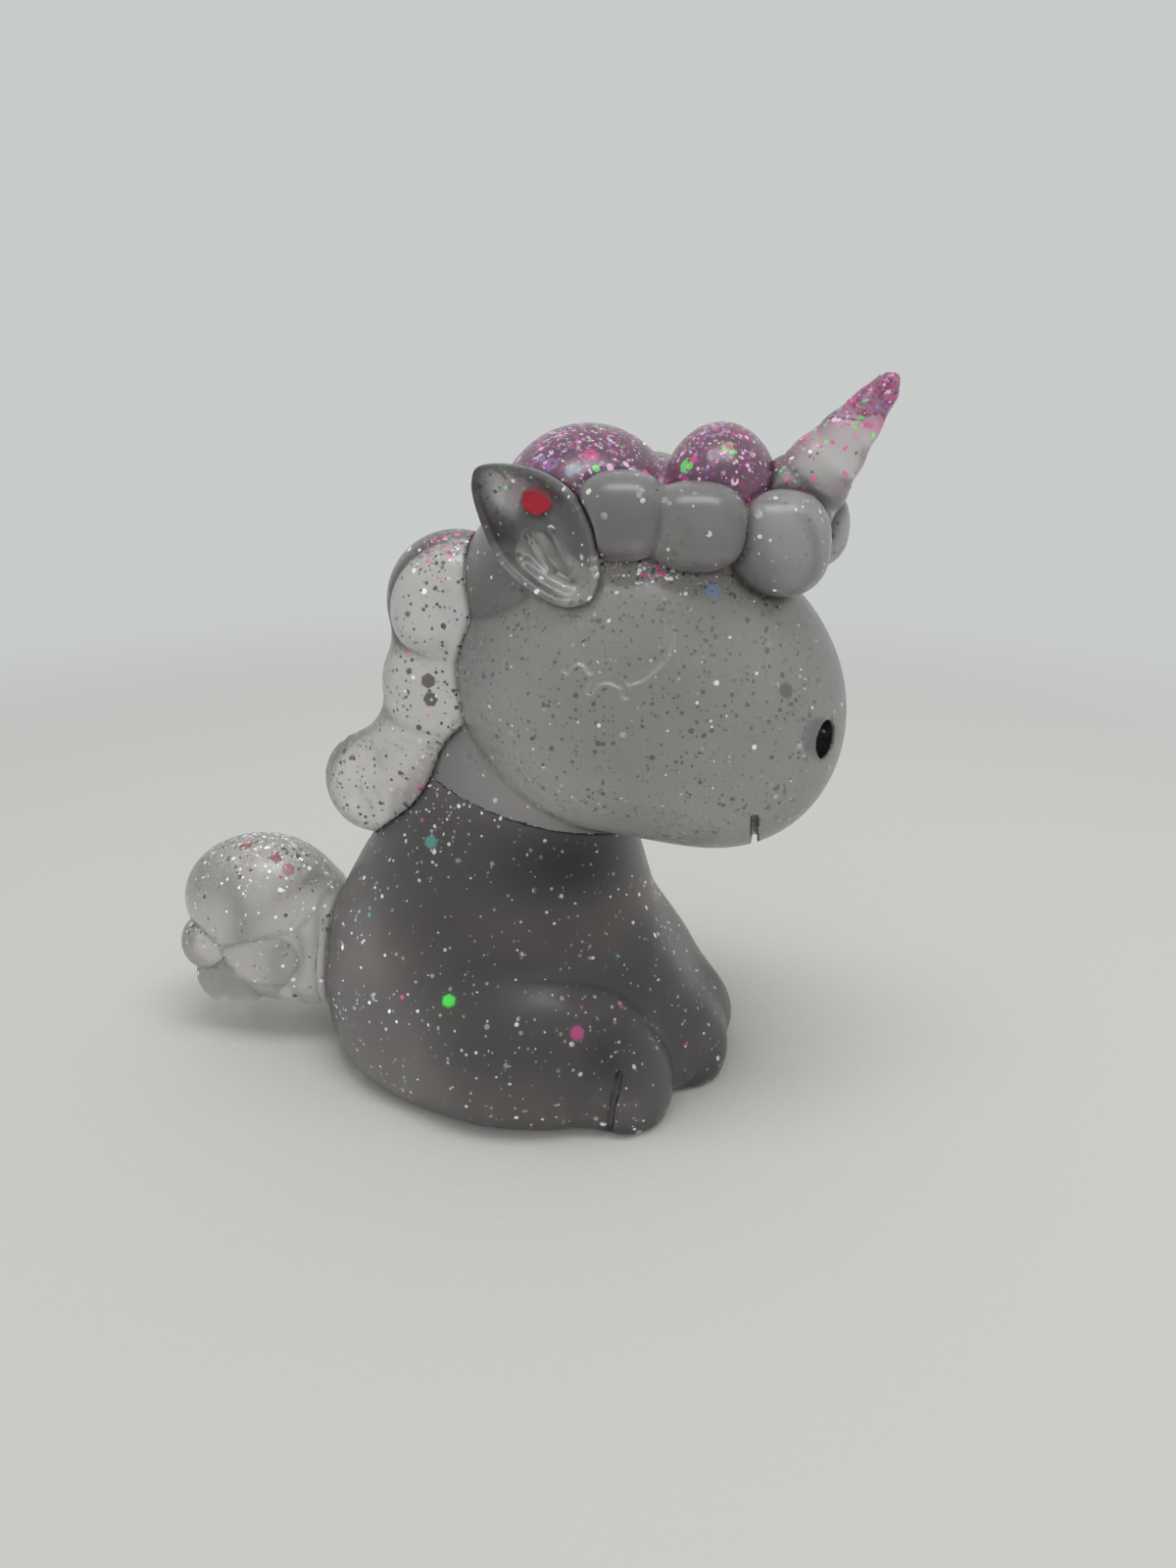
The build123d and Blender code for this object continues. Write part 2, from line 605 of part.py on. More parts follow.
with BuildPart() as tail_lock_side_left:
    mirror(tail_lock_side_right.part, about=Plane.XZ)
tail_lock_side_left.part.label = "tail_lock_side_left"
export_step(tail_lock_side_left.part, "parts/tail_lock_side_left.step")

tail_curl_egg = egg(place(tail_upper_centre, tail_upper_radii, tail_curl_place_shares), tail_curl_radii)
with BuildPart() as tail_curl_right:
    add(tail_curl_egg)
    split(bisect_by=Plane.XZ, keep=Keep.TOP)
    for tool in (tail_upper_egg, tail_under_egg, tail_side_egg):
        add(tool, mode=Mode.SUBTRACT)
tail_curl_right.part.label = "tail_curl_right"
export_step(tail_curl_right.part, "parts/tail_curl_right.step")

with BuildPart() as tail_curl_left:
    mirror(tail_curl_right.part, about=Plane.XZ)
tail_curl_left.part.label = "tail_curl_left"
export_step(tail_curl_left.part, "parts/tail_curl_left.step")

tail_low_centre = place(tail_upper_centre, tail_upper_radii, tail_low_curl_place_shares)
with BuildPart() as tail_low_curl_right:
    add(egg(tail_low_centre, tail_low_curl_radii))
    split(bisect_by=Plane.XZ, keep=Keep.TOP)
    for tool in (tail_upper_egg, tail_under_egg, tail_side_egg, tail_curl_egg):
        add(tool, mode=Mode.SUBTRACT)
tail_low_curl_right.part.label = "tail_low_curl_right"
export_step(tail_low_curl_right.part, "parts/tail_low_curl_right.step")

with BuildPart() as tail_low_curl_left:
    mirror(tail_low_curl_right.part, about=Plane.XZ)
tail_low_curl_left.part.label = "tail_low_curl_left"
export_step(tail_low_curl_left.part, "parts/tail_low_curl_left.step")
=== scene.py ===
import bmesh
import bpy
import numpy as np
from mathutils import Matrix, Vector


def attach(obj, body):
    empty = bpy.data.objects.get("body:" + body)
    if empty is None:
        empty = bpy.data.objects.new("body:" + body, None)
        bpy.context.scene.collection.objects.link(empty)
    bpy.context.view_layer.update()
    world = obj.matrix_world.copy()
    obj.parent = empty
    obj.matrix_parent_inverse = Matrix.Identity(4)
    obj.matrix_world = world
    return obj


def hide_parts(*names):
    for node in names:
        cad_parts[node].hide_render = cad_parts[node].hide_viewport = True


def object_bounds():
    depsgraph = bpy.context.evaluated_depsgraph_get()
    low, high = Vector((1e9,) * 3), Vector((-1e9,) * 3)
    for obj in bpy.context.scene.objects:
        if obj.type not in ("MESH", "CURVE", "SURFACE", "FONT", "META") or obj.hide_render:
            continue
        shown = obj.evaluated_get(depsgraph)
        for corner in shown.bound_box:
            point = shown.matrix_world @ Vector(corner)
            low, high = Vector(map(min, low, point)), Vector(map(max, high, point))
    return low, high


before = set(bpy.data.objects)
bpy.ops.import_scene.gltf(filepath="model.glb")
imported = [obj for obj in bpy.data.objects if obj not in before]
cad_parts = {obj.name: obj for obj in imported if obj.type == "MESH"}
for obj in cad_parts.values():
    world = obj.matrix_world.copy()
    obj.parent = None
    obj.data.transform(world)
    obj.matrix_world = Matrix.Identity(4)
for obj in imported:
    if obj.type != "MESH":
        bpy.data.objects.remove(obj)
cad_box = [list(corner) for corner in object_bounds()]

# The place where the figurine is shown: a pale sheet that runs up into the wall of a
# small light tent, lit softly from above. The camera stands where the phone was held.
MM = 0.001
camera_place = Vector((31.0, -133.6, 88.0)) * MM
camera_turn = np.radians(10.0)
camera_dip = np.radians(20.8)
picture_height = 1600
focus_in_pixels = 1202.0
wall_colour = (0.578, 0.600, 0.590, 1)
sheet_colour = (0.650, 0.640, 0.613, 1)
sheet_radius = 0.30
sheet_fade = (0.15, 0.29)
sheet_roughness, sheet_weave_scale = 0.9, 900.0
sheet_fuzz_strength, sheet_fuzz_height = 0.25, 0.0003
tent_colour = (0.97, 0.99, 1.0, 1)
tent_light = 0.64
roof_lamp_power = 0.58
roof_lamp_size = (0.30, 0.12)
roof_lamp_place = (0.05, -0.04, 0.40)
roof_lamp_tilt = 0.1

camera_right = Vector((np.cos(camera_turn), np.sin(camera_turn), 0))
camera_level = Vector((-np.sin(camera_turn), np.cos(camera_turn), 0))
camera_up = camera_level * np.sin(camera_dip) + Vector((0, 0, np.cos(camera_dip)))
camera_back = camera_right.cross(camera_up)



def put_in_scene(name, data):
    thing = bpy.data.objects.new(name, data)
    bpy.context.scene.collection.objects.link(thing)
    return thing


lens = bpy.data.cameras.new("phone_camera")
lens.sensor_width = 36.0
lens.lens = lens.sensor_width * focus_in_pixels / picture_height
lens.clip_start = 0.005
camera = put_in_scene("phone_camera", lens)
camera_axes = Matrix((camera_right, camera_up, camera_back)).transposed().to_4x4()
camera.matrix_world = Matrix.Translation(camera_place) @ camera_axes
bpy.context.scene.camera = camera
bpy.context.scene.view_settings.view_transform = "Standard"


class Finish:
    """A node tree for a material or the world, with short ways to add and join nodes."""

    def __init__(self, owner):
        owner.use_nodes = True
        self.tree = owner.node_tree
        self.tree.nodes.clear()

    def add(self, kind, sockets=(), **settings):
        node = self.tree.nodes.new(f"ShaderNode{kind}")
        for key, value in settings.items():
            setattr(node, key, value)
        for key, value in dict(sockets).items():
            if hasattr(value, "links"):
                self.tree.links.new(value, node.inputs[key])
            else:
                node.inputs[key].default_value = value
        return node


world = bpy.data.worlds.new("light_tent")
bpy.context.scene.world = world
tent = Finish(world)
ray = tent.add("LightPath")
seen = ray.outputs["Is Camera Ray"]
for also in ("Is Glossy Ray", "Is Transmission Ray"):
    seen = tent.add("Math", {0: seen, 1: ray.outputs[also]}, operation="MAXIMUM").outputs[0]
shine = tent.add("Background", {"Color": tent_colour, "Strength": tent_light})
wall = tent.add("Background", {"Color": wall_colour, "Strength": 1.0})
choice = tent.add("MixShader", {0: seen, 1: shine.outputs[0], 2: wall.outputs[0]})
tent.add("OutputWorld", {"Surface": choice.outputs[0]})

sheet_form = bmesh.new()
bmesh.ops.create_circle(sheet_form, cap_ends=True, segments=96, radius=sheet_radius)
sheet_mesh = bpy.data.meshes.new("table_sheet")
sheet_form.to_mesh(sheet_mesh)
sheet_form.free()
table_sheet = put_in_scene("table_sheet", sheet_mesh)
sheet_cloth = bpy.data.materials.new("pale_sheet")
cloth = Finish(sheet_cloth)
spot = cloth.add("TexCoord").outputs["Object"]
away = cloth.add("VectorMath", {0: spot}, operation="LENGTH").outputs["Value"]
fade = cloth.add(
    "MapRange",
    {"Value": away, "From Min": sheet_fade[0], "From Max": sheet_fade[1]},
    interpolation_type="SMOOTHSTEP",
)
weave = cloth.add("TexNoise", {"Vector": spot, "Scale": sheet_weave_scale, "Detail": 2.0})
fibres = cloth.add(
    "Bump",
    {"Height": weave.outputs["Fac"], "Strength": sheet_fuzz_strength, "Distance": sheet_fuzz_height},
)
woven = cloth.add(
    "BsdfPrincipled",
    {"Base Color": sheet_colour, "Roughness": sheet_roughness, "Normal": fibres.outputs[0]},
)
gone = cloth.add("BsdfTransparent")
sheet_edge = cloth.add("MixShader", {0: fade.outputs[0], 1: woven.outputs[0], 2: gone.outputs[0]})
cloth.add("OutputMaterial", {"Surface": sheet_edge.outputs[0]})
sheet_mesh.materials.append(sheet_cloth)

roof_light = bpy.data.lights.new("tent_roof", "AREA")
roof_light.shape = "RECTANGLE"
roof_light.energy = roof_lamp_power
roof_light.size, roof_light.size_y = roof_lamp_size
roof_lamp = put_in_scene("tent_roof", roof_light)
roof_lamp.location = roof_lamp_place
roof_lamp.rotation_euler = (roof_lamp_tilt, 0, camera_turn)

# Dark pour: the body with its folded hind legs and its forelegs. The smoke-coloured resin
# went into the upturned mould last, on a light pour that had set a little askew. Each
# form of the mould is given as the distance in mm to its skin, below zero inside.
bell_rings = np.array(
    [
        [0, -1.6, 22.6, 19.6],
        [1.2, -1.8, 23.8, 20.8],
        [4, -2.2, 24.8, 21.4],
        [10, -3.4, 24.0, 20.6],
        [18, -4.4, 21.6, 18.2],
        [26, -3.6, 18.4, 15.2],
        [34, -1.8, 14.8, 12.4],
        [42, 0.5, 12.5, 10.5],
        [48, 1.5, 9.0, 8.0],
    ]
)
bell_slope, bell_levels = 0.9, 97
haunch_egg = ((2.6, -11.1, 7.6), (14.0, 12.2, 11.2), (0, 14, 12), 2.25)
haunch_fold_from, haunch_fillet_behind, haunch_fillet_in_front = (-4.0, 9.0), 3.2, 1.1
knee_hollow = ((13.0, -21.4, 9.8), (2.4, 2.3, 4.6))
knee_hollow_lip = 1.2
hind_hoof_egg = ((15.5, -14.6, 3.6), (4.7, 6.0, 6.6), (0, 0, -14))
hind_hoof_fillet = 4.2
hoof_groove_points = [
    (15.2, -13.0, 11.0),
    (14.9, -17.6, 9.3),
    (14.3, -19.8, 6.7),
    (13.8, -20.3, 3.6),
    (13.5, -19.7, 0.6),
]
hoof_groove_depth, hoof_groove_width = 0.5, 0.55
foreleg_egg = ((16.2, -4.8, 9.0), (5.8, 6.0, 13.5), (0, -26, 0))
fore_hoof_egg = ((20.2, -4.2, 3.6), (5.6, 4.6, 5.4), (0, 0, 0))
foreleg_fillet, fore_hoof_fillet, fetlock_fillet, chest_fillet = 6.0, 5.0, 4.0, 2.5
underside_edge = 0.7
pour_height_behind, pour_slope, pour_from = 38.5, 0.30, -8.0
seam_gap = 0.03
body_tone, body_tone_limit = 0.61, 1.6
groove_shade, groove_shade_reach = 0.3, (0.2, 0.5)
fold_shade, fold_shade_width, fold_shade_from, fold_shade_above = 0.45, 0.4, (0.0, 6.0), (9.0, 13.0)
border_glow, border_glow_depth = 0.45, 2.0
# Middle and reach of each swirl, and how much lighter or darker it makes the tone.
# Those marked below are painted light; the others make the tone uneven.
body_swirls_and_painted_light = (
    ((6.5, -10.0, 30.5), (7.5, 7.0, 5.5), -0.92),
    ((-7.0, -14.0, 24.0), (7.0, 8.0, 7.0), -0.42),
    ((2.0, -16.0, 21.5), (10.0, 6.0, 4.0), -0.25),
    # Painted shade under the knee and on the haunch's face below its ledge.
    ((13.0, -18.0, 9.5), (3.5, 5.0, 5.0), -0.55),
    ((4.0, -21.0, 11.5), (9.0, 5.0, 3.0), -0.25),
    # Darker over the front hooves.
    ((24.0, -4.0, 7.0), (3.5, 7.0, 5.0), -0.35),
    # Painted highlights on the haunch's upper ledge.
    ((5.0, -16.8, 17.4), (4.5, 2.5, 1.6), 0.60),
    ((10.3, -15.7, 15.2), (2.8, 2.5, 1.6), 0.50),
    # Painted light on the thin rims of the rump and the forelegs, where light comes through.
    ((-15.0, -18.0, 9.0), (8.0, 8.0, 9.0), 2.1),
    ((-20.0, -11.0, 18.0), (5.0, 8.0, 10.0), 1.6),
    ((-2.0, -22.0, 6.0), (14.0, 6.0, 5.0), 0.45),
    ((13.0, 0.0, 29.0), (3.2, 6.0, 6.0), 2.0),
    ((19.0, 1.0, 18.0), (3.2, 6.0, 8.0), 1.9),
    # Lighter between the hind hoof and the forelegs.
    ((17.0, -10.5, 8.5), (1.2, 3.0, 4.0), 0.40),
)


def turning(tilt):
    """Rotation about x, then y, then z of the turned axes."""
    ax, ay, az = np.radians(tilt)
    about_x = np.array([[1, 0, 0], [0, np.cos(ax), -np.sin(ax)], [0, np.sin(ax), np.cos(ax)]])
    about_y = np.array([[np.cos(ay), 0, np.sin(ay)], [0, 1, 0], [-np.sin(ay), 0, np.cos(ay)]])
    about_z = np.array([[np.cos(az), -np.sin(az), 0], [np.sin(az), np.cos(az), 0], [0, 0, 1]])
    return about_x @ about_y @ about_z


def egg(p, centre, radii, tilt=(0, 0, 0), square=2.0):
    """Distance to an egg with three half axes, or to a rounded block if it is squarer."""
    radii = np.array(radii, float)
    share = np.abs((p - np.array(centre)) @ turning(tilt)) / radii
    if square == 2.0:
        near = np.sqrt((share**2).sum(-1)) + 1e-9
        slope = np.sqrt(((share / radii) ** 2).sum(-1)) / near + 1e-9
    else:
        near = (share**square).sum(-1) ** (1 / square) + 1e-9
        slope = np.sqrt(((share ** (square - 1) / radii) ** 2).sum(-1)) * near ** (1 - square) + 1e-9
    return (near - 1) / slope


def melt(a, b, soft):
    """Two forms in one, with a fillet between them."""
    near = np.clip(soft - np.abs(a - b), 0, None) / soft
    return np.minimum(a, b) - near * near * soft * 0.25


def carve(form, tool, soft):
    """A form less a tool, with a rounded lip."""
    return -melt(-form, tool, soft)


def mirror(p):
    return p * np.array([1, -1, 1])


def both_sides(form):
    """The form of the right side and its mirror image."""
    return lambda p: np.minimum(form(p), form(mirror(p)))


def paired(p, piece):
    """An egg on the right side and the like one on the left side."""
    return np.minimum(egg(p, *piece), egg(mirror(p), *piece))


def ridge(away, width):
    """One along a line or fold, falling to zero beside it."""
    return np.exp(-((away / width) ** 2))


def away_from_line(p, line):
    """Distance to a chain of straight runs."""
    nearest = np.full(p.shape[:-1], 1e9)
    for start, end in zip(np.array(line[:-1]), np.array(line[1:])):
        along = np.clip((p - start) @ (end - start) / ((end - start) @ (end - start)), 0, 1)
        nearest = np.minimum(nearest, np.linalg.norm(p - start - along[..., None] * (end - start), axis=-1))
    return nearest


def soft_step(value, low, high):
    share = np.clip((value - low) / (high - low), 0, 1)
    return share * share * (3 - 2 * share)


def groove(p, line, depth, width):
    """How much a flat-floored groove along a line takes off a form."""
    floor_share, lip_share = 0.45, 1.05
    return depth * (1 - soft_step(away_from_line(p, line), floor_share * width, lip_share * width))


def smooth_line(points, closed=False):
    """Closely spaced points on a smooth curve through the given ones."""
    steps_between = 8
    points = np.array(points, float)
    count = len(points)
    fine = []
    for i in range(count if closed else count - 1):
        picks = [(i + k) % count if closed else min(max(i + k, 0), count - 1) for k in (-1, 0, 1, 2)]
        before, start, end, after = points[picks]
        for t in np.linspace(0, 1, steps_between, endpoint=False):
            bend = 2 * before - 5 * start + 4 * end - after
            twist = 3 * start - before - 3 * end + after
            fine.append(0.5 * (2 * start + t * (end - before) + t**2 * bend + t**3 * twist))
    return np.array(fine if closed else [*fine, points[-1]])


def smooth_rows(rows, count):
    """Rows of a table, more closely spaced along smooth lines that never overshoot."""
    level = rows[:, 0]
    fine = np.linspace(level[0], level[-1], count)
    step = np.diff(level)
    at = np.clip(np.searchsorted(level, fine, "right") - 1, 0, len(level) - 2)
    t = (fine - level[at]) / step[at]
    columns = [fine]
    for column in rows[:, 1:].T:
        rise = np.diff(column) / step
        same_way = rise[:-1] * rise[1:] > 0
        before, after = (np.where(same_way, part, 1) for part in (rise[:-1], rise[1:]))
        slope = np.concatenate([rise[:1], np.where(same_way, 2 / (1 / before + 1 / after), 0), rise[-1:]])
        columns.append(
            (1 + 2 * t) * (1 - t) ** 2 * column[at]
            + t * (1 - t) ** 2 * step[at] * slope[at]
            + t**2 * (3 - 2 * t) * column[at + 1]
            + t**2 * (t - 1) * step[at] * slope[at + 1]
        )
    return np.array(columns)


bell_profile = smooth_rows(bell_rings, bell_levels)


def bell(p):
    """The upright body, an oval at every level."""
    level = p[..., 2]
    middle, length, width = (np.interp(level, bell_profile[0], column) for column in bell_profile[1:])
    ratio = np.sqrt(((p[..., 0] - middle) / length) ** 2 + (p[..., 1] / width) ** 2) + 1e-9
    return np.maximum((ratio - 1) * np.minimum(length, width) * bell_slope, level - bell_rings[-1, 0])


hoof_groove_line = smooth_line(hoof_groove_points)


def right_hind_leg(p):
    leg = melt(egg(p, *haunch_egg), egg(p, *hind_hoof_egg), hind_hoof_fillet)
    leg = carve(leg, egg(p, *knee_hollow), knee_hollow_lip)
    return leg + groove(p, hoof_groove_line, hoof_groove_depth, hoof_groove_width)


def forelegs(p):
    """Both forelegs, pressed together in front, with their hooves."""
    legs = melt(egg(p, *foreleg_egg), egg(mirror(p), *foreleg_egg), foreleg_fillet)
    hooves = melt(egg(p, *fore_hoof_egg), egg(mirror(p), *fore_hoof_egg), fore_hoof_fillet)
    return melt(legs, hooves, fetlock_fillet)


def trunk_form(p):
    return melt(bell(p), forelegs(p), chest_fillet)


def body_form(p):
    """The haunch runs softly into the rump behind and ends in a tight fold in front."""
    tight = soft_step(p[..., 0], *haunch_fold_from)
    fillet = haunch_fillet_behind + (haunch_fillet_in_front - haunch_fillet_behind) * tight
    body = melt(trunk_form(p), both_sides(right_hind_leg)(p), fillet)
    return carve(body, p[..., 2], underside_edge)


def above_pour(p):
    """Height over the skewed top of the light pour."""
    return p[..., 2] - pour_height_behind + pour_slope * (p[..., 0] - pour_from)


def draw_onto(form, skin, reach):
    """Each point moves down the form's slope until it lies on the skin."""
    tiny, least_slope = 0.02, 0.05
    slope = [(form(skin + tiny * axis) - form(skin - tiny * axis)) / (2 * tiny) for axis in np.eye(3)]
    slope = np.stack(slope, -1)
    steep = np.maximum((slope**2).sum(-1), least_slope)
    move = -(form(skin) / steep)[:, None] * slope
    length = np.linalg.norm(move, axis=-1) + 1e-9
    return skin + move * np.minimum(1, reach / length)[:, None]


def grow_skin(form, low, high, step):
    """Points and four-sided faces of a closed skin, found on a grid of the given step."""
    low, high = np.array(low, float), np.array(high, float)
    count = np.ceil((high - low) / step).astype(int) + 1
    ticks = [low[axis] + step * np.arange(count[axis]) for axis in range(3)]
    grid = np.stack(np.meshgrid(*ticks, indexing="ij"), -1)
    depth = np.stack([form(layer) for layer in grid])
    inside = depth < 0
    total = np.zeros((*(count - 1), 3))
    hits = np.zeros(count - 1, int)
    crossings = []
    for along in range(3):
        across, over = (along + 1) % 3, (along + 2) % 3
        here, there = [slice(None)] * 3, [slice(None)] * 3
        here[along], there[along] = slice(0, -1), slice(1, None)
        here, there = tuple(here), tuple(there)
        crossed = inside[here] != inside[there]
        share = depth[here] / np.where(crossed, depth[here] - depth[there], 1)
        point = grid[here].copy()
        point[..., along] += share * step
        point *= crossed[..., None]
        for shift_across in (0, 1):
            for shift_over in (0, 1):
                part = [slice(None)] * 3
                part[across] = slice(shift_across, count[across] - 1 + shift_across)
                part[over] = slice(shift_over, count[over] - 1 + shift_over)
                total += point[tuple(part)]
                hits += crossed[tuple(part)]
        crossings.append((along, across, over, crossed, inside[here]))
    used = hits > 0
    number = np.full(count - 1, -1)
    number[used] = np.arange(used.sum())
    skin = total[used] / hits[used][:, None]
    faces = []
    for along, across, over, crossed, starts_inside in crossings:
        at = np.argwhere(crossed)
        ring = []
        for back_across, back_over in ((1, 1), (0, 1), (0, 0), (1, 0)):
            cell = at.copy()
            cell[:, across] -= back_across
            cell[:, over] -= back_over
            ring.append(number[tuple(cell.T)])
        ring = np.stack(ring, -1)
        outward = starts_inside[tuple(at.T)]
        faces.append(np.where(outward[:, None], ring, ring[:, ::-1]))
    rounds, largest_move = 3, 0.6
    for _ in range(rounds):
        skin = draw_onto(form, skin, largest_move * step)
    return skin, np.concatenate(faces)


castings = {}


def no_pigment(p):
    return np.ones(p.shape[:-1])


def cast(
    name, form, whole, low, high, step, finish, nodes, fine=None, fine_reach=1.0, halvings=0,
    lobes=None, tone_and_painted_light=no_pigment,
):
    """One pour as a closed resin piece in place of the named CAD nodes.

    Fine gives how far a point is from the nearest small detail, such as a groove. Near
    that the skin's faces are halved again and again, so that its lips come out crisp.
    """
    narrowing, rounds, largest_move = 0.7, 4, 0.3
    skin, faces = grow_skin(form, low, high, step)
    shell = bmesh.new()
    corners = [shell.verts.new(point) for point in skin]
    for face in faces:
        shell.faces.new([corners[i] for i in face])
    for halving in range(halvings):
        shell.verts.ensure_lookup_table()
        points = np.array([vert.co for vert in shell.verts])
        reach = fine_reach * narrowing**halving
        near = fine(points) < reach
        shell.verts.index_update()
        edges = [e for e in shell.edges if near[e.verts[0].index] and near[e.verts[1].index]]
        bmesh.ops.subdivide_edges(shell, edges=edges, cuts=1, use_grid_fill=True)
    points = np.array([vert.co for vert in shell.verts])
    if halvings:
        for _ in range(rounds):
            points = draw_onto(form, points, largest_move * step)
    points = np.clip(points, *(np.array(cad_box) / MM))
    for vert, point in zip(shell.verts, points):
        vert.co = point * MM
    mesh = bpy.data.meshes.new(name)
    shell.to_mesh(mesh)
    shell.free()
    mesh.polygons.foreach_set("use_smooth", np.ones(len(mesh.polygons), bool))
    mesh.materials.append(finish)
    piece = put_in_scene(name, mesh)
    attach(piece, "root")
    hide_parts(*nodes)
    castings[name] = (piece, form, whole, points, lobes, tone_and_painted_light)


def resin(name, tint, density, satin, stain=(0.9, 0.9, 0.9), clouds=0.0, milk=0.0):
    """Cast resin with a satin skin, darker the further light has to go through it.

    Clouds of smoke make its tone uneven, and milk is the share of light that is
    thrown back. Where two pours have grown together there is no skin between them, so
    light goes straight through there. A colour attribute adds the pour's tone with its
    painted shade and painted highlights.
    """
    cloud_scale, cloud_bend, light_bend = 70.0, 1.2, 1.5
    grain_scale, grain_strength, grain_height = 2500.0, 0.12, 0.00002
    gloss, gloss_roughness = 0.22, 0.22
    material = bpy.data.materials.new(name)
    cast_resin = Finish(material)
    spot = cast_resin.add("TexCoord").outputs["Object"]
    drift = cast_resin.add(
        "TexNoise", {"Vector": spot, "Scale": cloud_scale, "Detail": 3.0, "Distortion": cloud_bend}
    )
    deep = tuple(channel * (1 - clouds) for channel in stain)
    tone = cast_resin.add(
        "Mix", {"Factor": drift.outputs["Fac"], "A": (*deep, 1), "B": (*stain, 1)}, data_type="RGBA"
    )
    # The pour's own tone with its painted shade and painted highlights, from the skin's colour attribute.
    tone_and_painted_light = cast_resin.add("Attribute", attribute_name="tone_and_painted_light")
    tone = cast_resin.add(
        "Mix",
        {"Factor": 1.0, "A": tone.outputs["Result"], "B": tone_and_painted_light.outputs["Color"]},
        data_type="RGBA",
        blend_type="MULTIPLY",
    )
    grain = cast_resin.add("TexNoise", {"Vector": spot, "Scale": grain_scale, "Detail": 1.0})
    skin_bump = cast_resin.add(
        "Bump", {"Height": grain.outputs["Fac"], "Strength": grain_strength, "Distance": grain_height}
    )
    skin = cast_resin.add(
        "BsdfPrincipled",
        {
            "Base Color": tone.outputs["Result"],
            "Roughness": satin,
            "IOR": light_bend,
            "Transmission Weight": 1 - milk,
            "Coat Weight": gloss,
            "Coat Roughness": gloss_roughness,
            "Normal": skin_bump.outputs[0],
        },
    )
    grown = cast_resin.add("Attribute", attribute_name="grown_together")
    open_way = cast_resin.add("BsdfTransparent")
    surface = cast_resin.add(
        "MixShader", {0: grown.outputs["Fac"], 1: skin.outputs[0], 2: open_way.outputs[0]}
    )
    depth = cast_resin.add("VolumeAbsorption", {"Color": (*tint, 1), "Density": density})
    cast_resin.add("OutputMaterial", {"Surface": surface.outputs[0], "Volume": depth.outputs[0]})
    return material


dark_tint = (0.42, 0.375, 0.365)
dark_stain = (0.88, 0.83, 0.81)
dark_smoke = resin(
    "dark_smoke_resin", dark_tint, density=85.0, satin=0.36, stain=dark_stain, clouds=0.30, milk=0.11
)


def dark_form(p):
    return np.minimum(body_form(p), head_form(p))


def body_pour(p):
    return np.maximum(dark_form(p), above_pour(p))


def swirl(p, centre, radii):
    """One where a swirl is thickest, falling to zero round it."""
    return np.exp(-(((p - np.array(centre)) / np.array(radii)) ** 2).sum(-1))


def swirled(p, tone, swirls):
    """An even tone, changed by swirls that lie alike on both sides."""
    tone = np.full(p.shape[:-1], tone)
    for centre, radii, change in swirls:
        tone *= 1 + change * np.maximum(swirl(p, centre, radii), swirl(mirror(p), centre, radii))
    return tone


def body_tone_and_painted_light(p):
    """Swirls of tone and painted light, painted shade in the hoof grooves and the haunch's fold, and
    lighter at the light pour.
    """
    tone = swirled(p, body_tone, body_swirls_and_painted_light)
    in_groove = 1 - soft_step(away_from_line(p, hoof_groove_line), *groove_shade_reach)
    fold = ridge(trunk_form(p) - both_sides(right_hind_leg)(p), fold_shade_width)
    fold *= soft_step(p[..., 0], *fold_shade_from) * soft_step(p[..., 2], *fold_shade_above)
    near_light_pour = np.exp(np.minimum(above_pour(p), 0) / border_glow_depth)
    # Painted shade in the hoof grooves and along the haunch's fold.
    tone *= 1 - groove_shade * in_groove
    tone *= 1 - fold_shade * fold
    tone *= 1 + border_glow * near_light_pour
    return np.clip(tone, 0, body_tone_limit)


# Light pour: head, ears and the top of the neck. It is a thinner smoke colour, cast in
# one with the moulded face: closed eyes with lashes, nostrils and the mouth line.
skull_egg = ((12.6, 0, 51.0), (20.6, 19.6, 19.0))
muzzle_egg = ((24.2, 0, 46.2), (13.6, 16.2, 15.2))
poll_egg = ((3.4, 0, 62.0), (10.2, 13.2, 10.0))
muzzle_fillet, poll_fillet, ear_fillet, neck_fillet = 6.0, 1.2, 0.5, 0.5
lid_points = [
    (18.7, -15.8, 60.7),
    (18.9, -16.7, 59.0),
    (18.4, -17.5, 57.6),
    (17.3, -18.3, 56.4),
    (16.2, -18.7, 55.6),
    (15.1, -19.0, 55.2),
]
front_lash_points = [
    (14.7, -19.2, 53.8),
    (14.5, -19.2, 54.6),
    (13.7, -19.1, 55.1),
    (12.7, -19.1, 55.3),
    (11.7, -19.2, 55.0),
    (11.0, -19.3, 54.1),
]
rear_lash_points = [
    (11.0, -18.8, 56.1),
    (10.4, -18.6, 56.8),
    (9.6, -18.4, 57.0),
    (8.9, -18.4, 56.6),
    (8.4, -18.5, 55.9),
]
face_lines = [smooth_line(points) for points in (lid_points, front_lash_points, rear_lash_points)]
eye_middle, eye_reach = np.array([14.5, -18.5, 55.0]), 9
eye_line_depth, eye_line_width = 0.42, 0.46
nostril_egg = ((34.4, -8.6, 46.9), (3.4, 2.1, 2.25), (0, 0, -28))
nostril_lip, mouth_lip = 0.15, 0.12
mouth_forward, mouth_top, mouth_half_width, mouth_depth = 28.2, 39.4, 0.36, 0.9
ear_root = np.array([9.3, -15.2, 63.0])
ear_tip = np.array([-1.2, -12.6, 75.2])
ear_facing = np.array([0.20, -0.96, 0.18])
